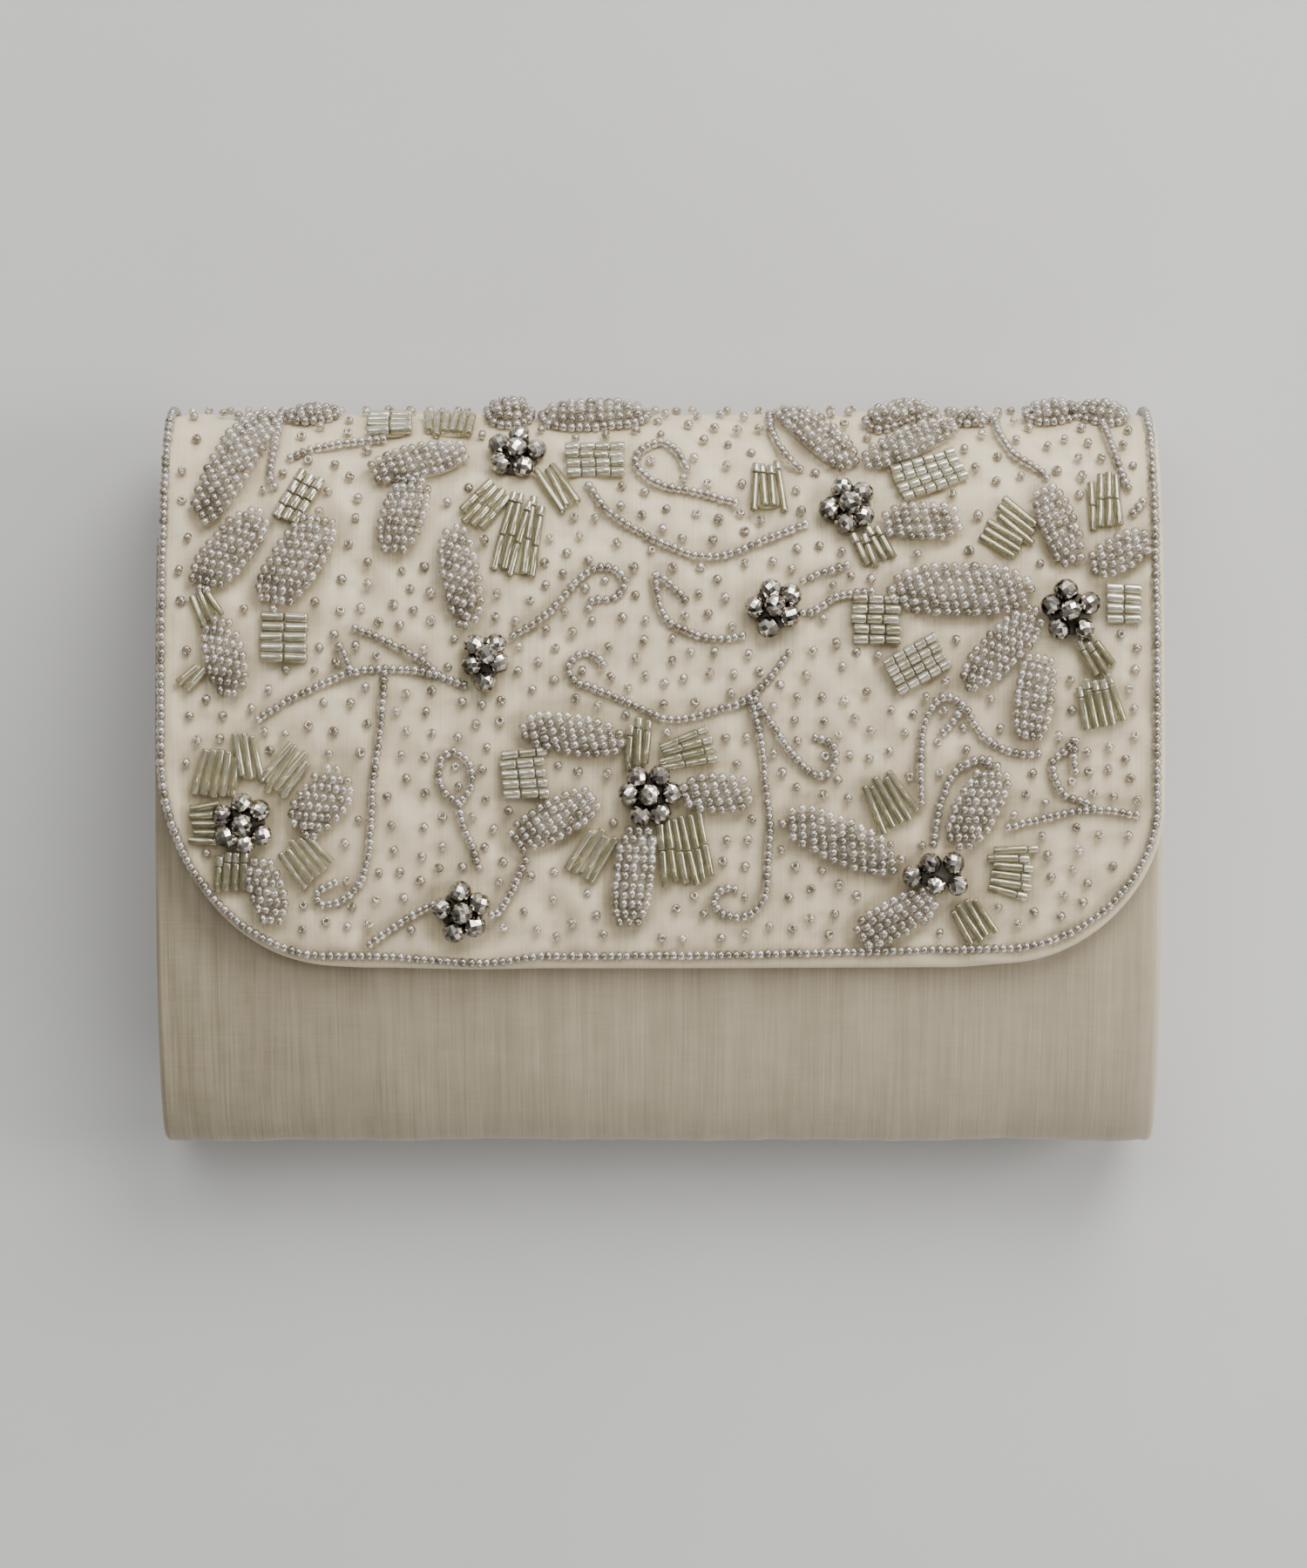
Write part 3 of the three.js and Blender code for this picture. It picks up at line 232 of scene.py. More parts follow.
def along(line):
    return np.concatenate([[0], np.cumsum(np.hypot(np.diff(line[:, 0]), np.diff(line[:, 1])))])


ANGLES = np.linspace(0, math.pi / 2, 1601)
LOW = quarter(BOTTOM_REACH, BOTTOM_POWER, -1, ANGLES)
TOP = quarter(TOP_REACH, TOP_POWER, 1, ANGLES[::-1])
SEAM_ANGLE = math.acos(1 - SEAM_Z / TIP_Z)
over = moved(np.concatenate([LOW, TOP[1:]]), FLAP_LAY)
over = over[over[:, 0] > FLAP_LOW_Y - 4]
FLAP_LINE = np.concatenate([over, back_corner(BACK_HIGH_Y, TOP_TIP_Y, np.linspace(math.pi / 2, SEAM_ANGLE, 400))[1:]])
FLAP_AT = along(FLAP_LINE)
FLAP_AT = FLAP_AT - FLAP_AT[int(np.argmax(FLAP_LINE[:, 0] >= FLAP_LOW_Y))]
FLAP_LONG = float(FLAP_AT[-1])


def flap_frame(v):
    """y, z, ny, nz of the flap's outside at v."""
    got = [np.interp(v, FLAP_AT, FLAP_LINE[:, k]) for k in range(4)]
    g = np.hypot(got[2], got[3])
    return got[0], got[1], got[2] / g, got[3] / g


def on_flap(x, v, h):
    y, z, ny, nz = flap_frame(np.asarray(v, float))
    x = np.broadcast_to(np.asarray(x, float), y.shape)
    return np.stack([x, y + h * ny + SHIFT_Y, z + h * nz], -1)


def flap_normal(v):
    _, _, ny, nz = flap_frame(np.asarray(v, float))
    return np.stack([np.zeros_like(ny), ny, nz], -1)


def flap_side(v, corner):
    across, run, power = corner
    short = np.clip((run - np.maximum(np.asarray(v, float), 0)) / run, 0, 1)
    return HALF - across * (1 - np.maximum(1 - short**power, 0) ** (1 / power))


def wave_drop(x, drops):
    x = np.clip(np.asarray(x, float), WAVE_X[0], WAVE_X[-1])
    i = np.clip(np.searchsorted(WAVE_X, x), 1, len(WAVE_X) - 1)
    a, b = np.take(WAVE_X, i - 1), np.take(WAVE_X, i)
    t = (x - a) / (b - a)
    t = t * t * (3 - 2 * t)
    return np.take(drops, i - 1) * (1 - t) + np.take(drops, i) * t


def waved(x, v, drops):
    return v - wave_drop(x, drops) * np.maximum(0, 1 - np.asarray(v, float) / WAVE_FADE) ** 2


def ripple(x, y, seed, size, waves=18):
    """A smooth seeded ripple of about unit height, with waves of about the given size."""
    r = np.random.default_rng(seed)
    total = np.zeros_like(np.asarray(x, float))
    for _ in range(waves):
        a, k, p = r.uniform(0, 2 * math.pi), 2 * math.pi / (size * r.uniform(0.7, 1.6)), r.uniform(0, 2 * math.pi)
        total = total + np.sin(k * (x * math.cos(a) + y * math.sin(a)) + p)
    return total / math.sqrt(waves / 2)


# ---- Meshes from arrays ----
class Stock:
    """Points and faces gathered for one mesh, with a tone for each point and a material and smoothness for each face."""

    def __init__(self):
        self.v, self.tone, self.faces, self.count = [], [], {3: [], 4: []}, 0

    def add(self, v, quads=None, tris=None, tone=0.5, mat=0, smooth=True):
        v = np.asarray(v, float).reshape(-1, 3)
        self.v.append(v)
        self.tone.append(np.broadcast_to(np.asarray(tone, float), (len(v),)))
        for n, f in ((4, quads), (3, tris)):
            if f is not None and len(f):
                f = np.asarray(f, np.int64).reshape(-1, n)
                self.faces[n].append((f + self.count, np.full(len(f), mat), np.full(len(f), smooth)))
        self.count += len(v)

    def triangles(self):
        return sum(len(f[0]) for f in self.faces[3]) + 2 * sum(len(f[0]) for f in self.faces[4])


def make_mesh(name, stock, uv=None):
    v = np.concatenate(stock.v) * MM
    groups = [(n, f, m, s) for n in (4, 3) for f, m, s in stock.faces[n]]
    loops = np.concatenate([f.ravel() for _, f, _, _ in groups])
    sizes = np.concatenate([np.full(len(f), n) for n, f, _, _ in groups])
    mesh = bpy.data.meshes.new(name)
    mesh.vertices.add(len(v))
    mesh.vertices.foreach_set("co", v.ravel().astype(np.float32))
    mesh.loops.add(len(loops))
    mesh.loops.foreach_set("vertex_index", loops.astype(np.int32))
    mesh.polygons.add(len(sizes))
    mesh.polygons.foreach_set("loop_start", np.concatenate([[0], np.cumsum(sizes)[:-1]]).astype(np.int32))
    mesh.polygons.foreach_set("material_index", np.concatenate([m for _, _, m, _ in groups]).astype(np.int32))
    mesh.update(calc_edges=True)
    mesh.polygons.foreach_set("use_smooth", np.concatenate([s for _, _, _, s in groups]).astype(bool))
    tone = mesh.attributes.new("tone", "FLOAT", "POINT")
    tone.data.foreach_set("value", np.concatenate(stock.tone).astype(np.float32))
    if uv is not None:
        layer = mesh.uv_layers.new(name="cloth")
        layer.data.foreach_set("uv", (uv[loops] * MM).astype(np.float32).ravel())
    mesh.validate()
    mesh.update()
    return mesh


def piece(name, stock, materials, nodes=(), uv=None):
    obj = bpy.data.objects.new(name, make_mesh(name, stock, uv))
    bpy.context.scene.collection.objects.link(obj)
    for m in materials:
        obj.data.materials.append(m)
    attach(obj, "root")
    if nodes:
        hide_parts(*nodes)
    return obj


def lathe(profile, sides, closed, half_turn=0.0):
    """A profile of (along, radius) turned about X. A closed profile runs round a hole; an open one has its ends on the axis."""
    profile = np.asarray(profile, float)
    a = np.arange(sides) * 2 * math.pi / sides + half_turn
    ring = profile if closed else profile[1:-1]
    v = np.stack([np.repeat(ring[:, 0], sides), np.outer(ring[:, 1], np.cos(a)).ravel(), np.outer(ring[:, 1], np.sin(a)).ravel()], 1)
    n, quads, tris = len(ring), [], []
    j = np.arange(sides)
    for i in range(n if closed else n - 1):
        p, q = i * sides, ((i + 1) % n) * sides
        quads.append(np.stack([p + j, p + (j + 1) % sides, q + (j + 1) % sides, q + j], 1)[:, ::-1])
    if not closed:
        v = np.concatenate([v, [[profile[0, 0], 0, 0], [profile[-1, 0], 0, 0]]])
        first, last, e = len(v) - 2, len(v) - 1, (n - 1) * sides
        tris = np.concatenate([np.stack([np.full(sides, first), (j + 1) % sides, j], 1)[:, ::-1], np.stack([np.full(sides, last), e + j, e + (j + 1) % sides], 1)[:, ::-1]])
    angle = np.tile(np.arange(sides), n)
    if not closed:
        angle = np.concatenate([angle, [0, 0]])
    return {"v": v, "q": np.concatenate(quads), "t": np.asarray(tris, np.int64).reshape(-1, 3), "side": angle, "sides": sides}


def turned(template, keep):
    """The template, with its faces turned outward."""
    v, tri = template["v"], np.concatenate([template["q"][:, [0, 1, 2]], template["q"][:, [0, 2, 3]], template["t"]])
    volume = np.einsum("ij,ij->i", v[tri[:, 0]], np.cross(v[tri[:, 1]], v[tri[:, 2]])).sum()
    if volume < 0:
        template["q"], template["t"] = template["q"][:, ::-1], template["t"][:, ::-1]
    template["smooth"] = keep
    return template


SEED = turned(lathe([(-0.70, 0), (-0.735, 0.38), (-0.68, 0.64), (-0.50, 0.865), (-0.24, 0.975), (0, 1.0), (0.24, 0.975), (0.50, 0.865), (0.68, 0.64), (0.735, 0.38), (0.70, 0)], 10, False), True)
RING_BEAD = turned(lathe([(-0.50, 0.36), (-0.66, 0.46), (-0.73, 0.68), (-0.56, 0.90), (-0.2, 1.0), (0.2, 1.0), (0.56, 0.90), (0.73, 0.68), (0.66, 0.46), (0.50, 0.36)], 12, True), True)
TUBE = turned(lathe([(-0.490, 0.46), (-0.5, 0.72), (-0.484, 0.96), (-0.46, 1.0), (0.46, 1.0), (0.484, 0.96), (0.5, 0.72), (0.490, 0.46)], 16, True), True)
CUT_BEAD = turned(lathe([(-0.47, 0.40), (-0.5, 0.70), (-0.455, 0.97), (-0.40, 1.0), (0.40, 1.0), (0.455, 0.97), (0.5, 0.70), (0.47, 0.40)], 14, True), True)


def facet_template(sides=9):
    """A polished bead of flat facets in staggered rows about X. Each facet has points of its own, so that each can have its own tone."""
    rows = [(0.95, 0.30, 0.0), (0.78, 0.63, 0.5), (0.47, 0.885, 0.0), (0.16, 0.99, 0.5), (-0.16, 0.99, 0.0), (-0.47, 0.885, 0.5), (-0.78, 0.63, 0.0), (-0.95, 0.30, 0.5)]
    v, tris = [], []
    for x, r, turn in rows:
        a = (np.arange(sides) + turn) * 2 * math.pi / sides
        v.append(np.stack([np.full(sides, x), r * np.cos(a), r * np.sin(a)], 1))
    for i in range(len(rows) - 1):
        lead = rows[i][2] == 0.0
        for j in range(sides):
            a, b = i * sides + j, i * sides + (j + 1) % sides
            c, d = (i + 1) * sides + j, (i + 1) * sides + (j + 1) % sides
            tris += [(a, c, b), (b, c, d)] if lead else [(a, c, d), (a, d, b)]
    v.append(np.array([[0.90, 0, 0], [-0.90, 0, 0]]))
    top, low, e = len(rows) * sides, len(rows) * sides + 1, (len(rows) - 1) * sides
    for j in range(sides):
        tris += [(top, j, (j + 1) % sides), (low, e + (j + 1) % sides, e + j)]
    v, tris = np.concatenate(v), np.array(tris)
    own = v[tris].reshape(-1, 3)
    return turned({"v": own, "q": np.zeros((0, 4), np.int64), "t": np.arange(len(own)).reshape(-1, 3), "side": np.repeat(np.arange(len(tris)), 3), "sides": len(tris)}, False)


FACET = facet_template()


def frames(axis, up):
    """Rotation matrices whose X runs along axis and whose Z leans to up."""
    x = axis / np.linalg.norm(axis, axis=1, keepdims=True)
    y = np.cross(up, x)
    y /= np.maximum(np.linalg.norm(y, axis=1, keepdims=True), 1e-9)
    return np.stack([x, y, np.cross(x, y)], 2)


def spin(turns, angle):
    """The same frames, turned about their own X."""
    c, s = np.cos(angle), np.sin(angle)
    y, z = turns[:, :, 1].copy(), turns[:, :, 2].copy()
    out = turns.copy()
    out[:, :, 1] = y * c[:, None] + z * s[:, None]
    out[:, :, 2] = z * c[:, None] - y * s[:, None]
    return out


def lean(vectors, amount):
    return vectors + rng.normal(0, amount, vectors.shape)


def strew(stock, template, centres, turns, size, tone, mat=0, streak=0.0, sparkle=0.0):
    """Copies of a template: size is (n, 3) in mm along its own axes, tone one number a copy or a point, streak how far the tone changes round its axis, sparkle how far from point to point."""
    n, k = len(centres), len(template["v"])
    if not n:
        return
    size = np.broadcast_to(np.asarray(size, float), (n, 3))
    local = template["v"][None] * size[:, None, :]
    v = np.einsum("nij,nkj->nki", turns, local) + centres[:, None, :]
    tones = np.asarray(tone, float)
    tones = tones if tones.ndim == 2 else np.repeat(tones[:, None], k, 1)
    if streak:
        bands = rng.normal(0, streak, (n, template["sides"]))
        tones = tones + np.take_along_axis(bands, np.broadcast_to(template["side"] % template["sides"], (n, k)), 1)
    if sparkle:
        tones = tones + rng.normal(0, sparkle, (n, k))
    step = (np.arange(n) * k)[:, None, None]
    quads = (template["q"][None] + step).reshape(-1, 4) if len(template["q"]) else None
    tris = (template["t"][None] + step).reshape(-1, 3) if len(template["t"]) else None
    stock.add(v.reshape(-1, 3), quads, tris, np.clip(tones, 0, 1).ravel(), mat, template["smooth"])


# ---- Strings of beads ----
def curve_through(points, closed=False):
    """A fine centripetal curve through chart points."""
    p = np.asarray(points, float)
    if len(p) == 2:
        return p[0] + (p[1] - p[0]) * np.linspace(0, 1, 60)[:, None]
    p = np.concatenate([[2 * p[0] - p[1]], p, [2 * p[-1] - p[-2]]])
    out = []
    for i in range(1, len(p) - 2):
        a, b, c, d = p[i - 1], p[i], p[i + 1], p[i + 2]
        t0 = 0.0
        t1 = t0 + np.linalg.norm(b - a) ** 0.5
        t2 = t1 + np.linalg.norm(c - b) ** 0.5
        t3 = t2 + np.linalg.norm(d - c) ** 0.5
        t = np.linspace(t1, t2, 60, endpoint=i == len(p) - 3)[:, None]
        e1 = (t1 - t) / (t1 - t0) * a + (t - t0) / (t1 - t0) * b
        e2 = (t2 - t) / (t2 - t1) * b + (t - t1) / (t2 - t1) * c
        e3 = (t3 - t) / (t3 - t2) * c + (t - t2) / (t3 - t2) * d
        f1 = (t2 - t) / (t2 - t0) * e1 + (t - t0) / (t2 - t0) * e2
        f2 = (t3 - t) / (t3 - t1) * e2 + (t - t1) / (t3 - t1) * e3
        out.append((t2 - t) / (t2 - t1) * f1 + (t - t1) / (t2 - t1) * f2)
    return np.concatenate(out)


def spaced(line, pitch):
    """Even stations along a fine line, and the line's direction there."""
    at = np.concatenate([[0], np.cumsum(np.linalg.norm(np.diff(line, axis=0), axis=1))])
    n = max(2, int(round(at[-1] / pitch)))
    mids = (np.arange(n) + 0.5) * at[-1] / n
    get = lambda s: np.stack([np.interp(s, at, line[:, k]) for k in range(line.shape[1])], 1)
    way = get(np.minimum(mids + 0.4, at[-1])) - get(np.maximum(mids - 0.4, 0))
    return get(mids), way, at[-1] / n


def string_beads(stock, line, height, radius, spacing, sway):
    """Seed beads threaded along a chart line."""
    st, way, pitch = spaced(line, spacing)
    n = len(st)
    st = st + rng.normal(0, sway, st.shape)
    centre = on_flap(st[:, 0], st[:, 1], 0.0) + flap_normal(st[:, 1]) * (height + rng.normal(0, 0.04, n))[:, None]
    ahead = on_flap(st[:, 0] + way[:, 0] * 0.5, st[:, 1] + way[:, 1] * 0.5, height) - on_flap(st[:, 0] - way[:, 0] * 0.5, st[:, 1] - way[:, 1] * 0.5, height)
    ahead /= np.linalg.norm(ahead, axis=1, keepdims=True)
    turns = spin(frames(lean(ahead, 0.10), flap_normal(st[:, 1])), rng.uniform(0, 6.28, n))
    r = radius * rng.normal(1, 0.06, n)
    size = np.stack([np.full(n, pitch / 1.555) * rng.normal(1.0, 0.04, n), r, r], 1)
    strew(stock, SEED, centre, turns, size, rng.beta(2.2, 1.6, n), M_SEED, 0.08, 0.27)
    sides = 6
    a = np.arange(sides) * 2 * math.pi / sides
    square = frames(ahead, flap_normal(st[:, 1]))
    ring = centre[:, None, :] + 0.22 * (np.cos(a)[None, :, None] * square[:, None, :, 1] + np.sin(a)[None, :, None] * square[:, None, :, 2])
    i, j = np.meshgrid(np.arange(n - 1) * sides, np.arange(sides), indexing="ij")
    k = (j + 1) % sides
    quads = np.stack([i + j, i + k, i + sides + k, i + sides + j], -1).reshape(-1, 4)[:, ::-1]
    caps = np.array([[0, q, q + 1] for q in range(1, sides - 1)] + [[(n - 1) * sides, (n - 1) * sides + q + 1, (n - 1) * sides + q] for q in range(1, sides - 1)])
    stock.add(ring.reshape(-1, 3), quads[:, ::-1], caps[:, ::-1], 0.5, M_THREAD, True)
    return st


# ---- Materials ----
def material(name):
    m = bpy.data.materials.new(name)
    m.use_nodes = True
    t = m.node_tree
    t.nodes.clear()
    out, shader = t.nodes.new("ShaderNodeOutputMaterial"), t.nodes.new("ShaderNodeBsdfPrincipled")
    t.links.new(shader.outputs[0], out.inputs[0])
    return m, t, shader


def noise(t, vector, scale, detail=2.0, roughness=0.5):
    n = t.nodes.new("ShaderNodeTexNoise")
    n.inputs["Scale"].default_value, n.inputs["Detail"].default_value, n.inputs["Roughness"].default_value = scale, detail, roughness
    t.links.new(vector, n.inputs["Vector"])
    return n.outputs["Fac"]


def stretched(t, vector, scale):
    n = t.nodes.new("ShaderNodeVectorMath")
    n.operation = "MULTIPLY"
    t.links.new(vector, n.inputs[0])
    n.inputs[1].default_value = scale
    return n.outputs[0]


def maths(t, op, a, b, clamp=False):
    n = t.nodes.new("ShaderNodeMath")
    n.operation, n.use_clamp = op, clamp
    for i, x in enumerate((a, b)):
        if isinstance(x, (int, float)):
            n.inputs[i].default_value = x
        else:
            t.links.new(x, n.inputs[i])
    return n.outputs[0]


def ramp(t, factor, stops):
    n = t.nodes.new("ShaderNodeValToRGB")
    while len(n.color_ramp.elements) < len(stops):
        n.color_ramp.elements.new(0.5)
    for e, (at, colour) in zip(n.color_ramp.elements, stops):
        e.position, e.color = at, (*colour, 1)
    t.links.new(factor, n.inputs[0])
    return n.outputs[0]


def bump(t, shader, height, distance, strength=1.0, under=None):
    n = t.nodes.new("ShaderNodeBump")
    n.inputs["Distance"].default_value, n.inputs["Strength"].default_value = distance, strength
    t.links.new(height, n.inputs["Height"])
    if under is not None:
        t.links.new(under, n.inputs["Normal"])
    t.links.new(n.outputs[0], shader.inputs["Normal"])
    return n.outputs[0]


def silk(name, painted_shade_colour, deep, mid, pale, rib, slub, roughness, sheen):
    """Slubbed silk: fine ribs along the cloth's length, thicker uneven yarns among them, a faint cross weave, and a
    soft sheen. Its tone attribute paints light and shade into its colour: darker where painted shade lies beside the
    beads, paler where painted light lies.
    """
    m, t, s = material(name)
    uv = t.nodes.new("ShaderNodeUVMap")
    uv.uv_map = "cloth"
    co = uv.outputs[0]
    # the tone attribute carries the cloth's painted shade and painted light
    shading_tone_node = t.nodes.new("ShaderNodeAttribute")
    shading_tone_node.attribute_name = "tone"
    ribs = noise(t, stretched(t, co, (1, 0.018, 1)), 2400, 2.0, 0.6)
    slubs = noise(t, stretched(t, co, (1, 0.03, 1)), 620, 3.0, 0.65)
    cross = noise(t, stretched(t, co, (0.05, 1, 1)), 2600, 1.0)
    cloud = noise(t, co, 28, 2.0)
    patch = noise(t, co, 170, 2.0)
    tone = maths(t, "MULTIPLY_ADD", ribs, rib)
    tone.node.inputs[2].default_value = 0.58 - rib / 2
    tone = maths(t, "ADD", tone, maths(t, "MULTIPLY", maths(t, "SUBTRACT", slubs, 0.5), slub))
    tone = maths(t, "ADD", tone, maths(t, "MULTIPLY", maths(t, "SUBTRACT", cross, 0.5), rib * 0.3))
    tone = maths(t, "ADD", tone, maths(t, "MULTIPLY", maths(t, "SUBTRACT", patch, 0.5), 0.28))
    tone = maths(t, "ADD", tone, maths(t, "MULTIPLY", maths(t, "SUBTRACT", cloud, 0.5), 0.22))
    # painted shade and painted light: a positive tone darkens the cloth, a negative one makes it paler
    tone = maths(t, "SUBTRACT", tone, maths(t, "MULTIPLY", shading_tone_node.outputs["Fac"], 0.42), True)
    t.links.new(ramp(t, tone, [(0.05, painted_shade_colour), (0.34, deep), (0.58, mid), (0.90, pale)]), s.inputs["Base Color"])
    s.inputs["Roughness"].default_value = roughness
    s.inputs["Specular IOR Level"].default_value = 0.45
    s.inputs["Sheen Weight"].default_value = sheen
    s.inputs["Sheen Roughness"].default_value = 0.35
    s.inputs["Sheen Tint"].default_value = (0.97, 0.91, 0.80, 1)
    weave = maths(t, "ADD", maths(t, "ADD", ribs, maths(t, "MULTIPLY", slubs, 1.2)), maths(t, "MULTIPLY", cross, 0.25))
    bump(t, s, weave, 0.00008, 0.6)
    return m


def glassy(name, stops, metallic, roughness, clear=0.0, speckle=900):
    """Lined glass: the lining shows through in part, and its tone changes from bead to bead and clouds a little inside each one."""
    m, t, s = material(name)
    tone = t.nodes.new("ShaderNodeAttribute")
    tone.attribute_name = "tone"
    co = t.nodes.new("ShaderNodeTexCoord").outputs["Object"]
    cloud = noise(t, co, speckle, 1.0)
    mixed = maths(t, "ADD", tone.outputs["Fac"], maths(t, "MULTIPLY", maths(t, "SUBTRACT", cloud, 0.5), 0.55), True)
    t.links.new(ramp(t, mixed, stops), s.inputs["Base Color"])
    s.inputs["Metallic"].default_value = metallic
    s.inputs["Roughness"].default_value = roughness
    s.inputs["IOR"].default_value = 1.52
    s.inputs["Transmission Weight"].default_value = clear
    return m


# the first colour of each silk is the colour of its painted shade, and also its deepest tone
SILK_BODY = silk("silk_body", (0.198, 0.170, 0.107), (0.298, 0.249, 0.171), (0.357, 0.300, 0.209), (0.435, 0.372, 0.268), 0.6, 0.6, 0.5, 0.4)
SILK_FLAP = silk("silk_flap", (0.32, 0.276, 0.162), (0.55, 0.462, 0.313), (0.667, 0.563, 0.389), (0.748, 0.639, 0.453), 0.36, 0.32, 0.46, 0.4)
SEEDS = glassy("seed_glass", [(0.0, (0.43, 0.388, 0.305)), (0.5, (0.81, 0.748, 0.677)), (1.0, (1.0, 0.978, 0.95))], 0.31, 0.07, 0.88)
BUGLES = glassy("bugle_glass", [(0.0, (0.50, 0.46, 0.295)), (0.45, (0.72, 0.672, 0.475)), (1.0, (1.0, 0.97, 0.86))], 0.2, 0.08, 0.88, 700)
CUTS = glassy("cut_glass", [(0.0, (0.38, 0.34, 0.22)), (0.45, (0.64, 0.59, 0.43)), (1.0, (1.0, 0.97, 0.88))], 0.36, 0.07, 0.7, 700)
FACETS = glassy("facet_mirror", [(0.0, (0.02, 0.017, 0.014)), (0.5, (0.37, 0.336, 0.29)), (1.0, (1.0, 0.935, 0.845))], 1.0, 0.11, 0.0, 420)


def felt(name, deep, pale):
    m, t, s = material(name)
    co = t.nodes.new("ShaderNodeTexCoord").outputs["Object"]
    shade = t.nodes.new("ShaderNodeAttribute")
    shade.attribute_name = "tone"
    fuzz = noise(t, co, 3000, 3.0, 0.7)
    level = maths(t, "ADD", fuzz, maths(t, "MULTIPLY", maths(t, "SUBTRACT", shade.outputs["Fac"], 0.5), 0.8), True)
    t.links.new(ramp(t, level, [(0.0, tuple(0.7 * c for c in deep)), (0.25, deep), (0.75, pale), (1.0, tuple(1.2 * c for c in pale))]), s.inputs["Base Color"])
    s.inputs["Roughness"].default_value = 0.85
    bump(t, s, fuzz, 0.0001, 0.8)
    return m


def brushed(name):
    m, t, s = material(name)
    co = t.nodes.new("ShaderNodeTexCoord").outputs["Object"]
    lines = noise(t, stretched(t, co, (1, 0.05, 1)), 4000, 2.0)
    t.links.new(ramp(t, lines, [(0.3, (0.55, 0.53, 0.49)), (0.7, (0.72, 0.70, 0.65))]), s.inputs["Base Color"])
    s.inputs["Metallic"].default_value = 1.0
    s.inputs["Roughness"].default_value = 0.32
    bump(t, s, lines, 0.00004, 0.5)
    return m


PADDING = felt("leaf_padding", (0.42, 0.377, 0.283), (0.61, 0.556, 0.435))
BEDDING = felt("bugle_bedding", (0.41, 0.369, 0.234), (0.57, 0.518, 0.36))
# a near-black cushion under the faceted beads: painted shade that fills the gaps between them
DARK_BED = felt("flower_shade_bed", (0.05, 0.042, 0.032), (0.11, 0.094, 0.072))
THREAD = felt("bead_thread", (0.17, 0.147, 0.104), (0.29, 0.254, 0.186))
SNAP = brushed("snap_metal")

# ---- Beadwork, gathered by node ----
stocks = {}
BEAD_MATS = [SEEDS, BUGLES, CUTS, FACETS, PADDING, BEDDING, DARK_BED, THREAD]
M_SEED, M_BUGLE, M_CUT, M_FACET, M_PAD, M_BED, M_DARK, M_THREAD = range(8)
marks = []  # chart points that beadwork covers, for the pull of its stitches on the silk


def stock_of(node):
    return stocks.setdefault(node, Stock())


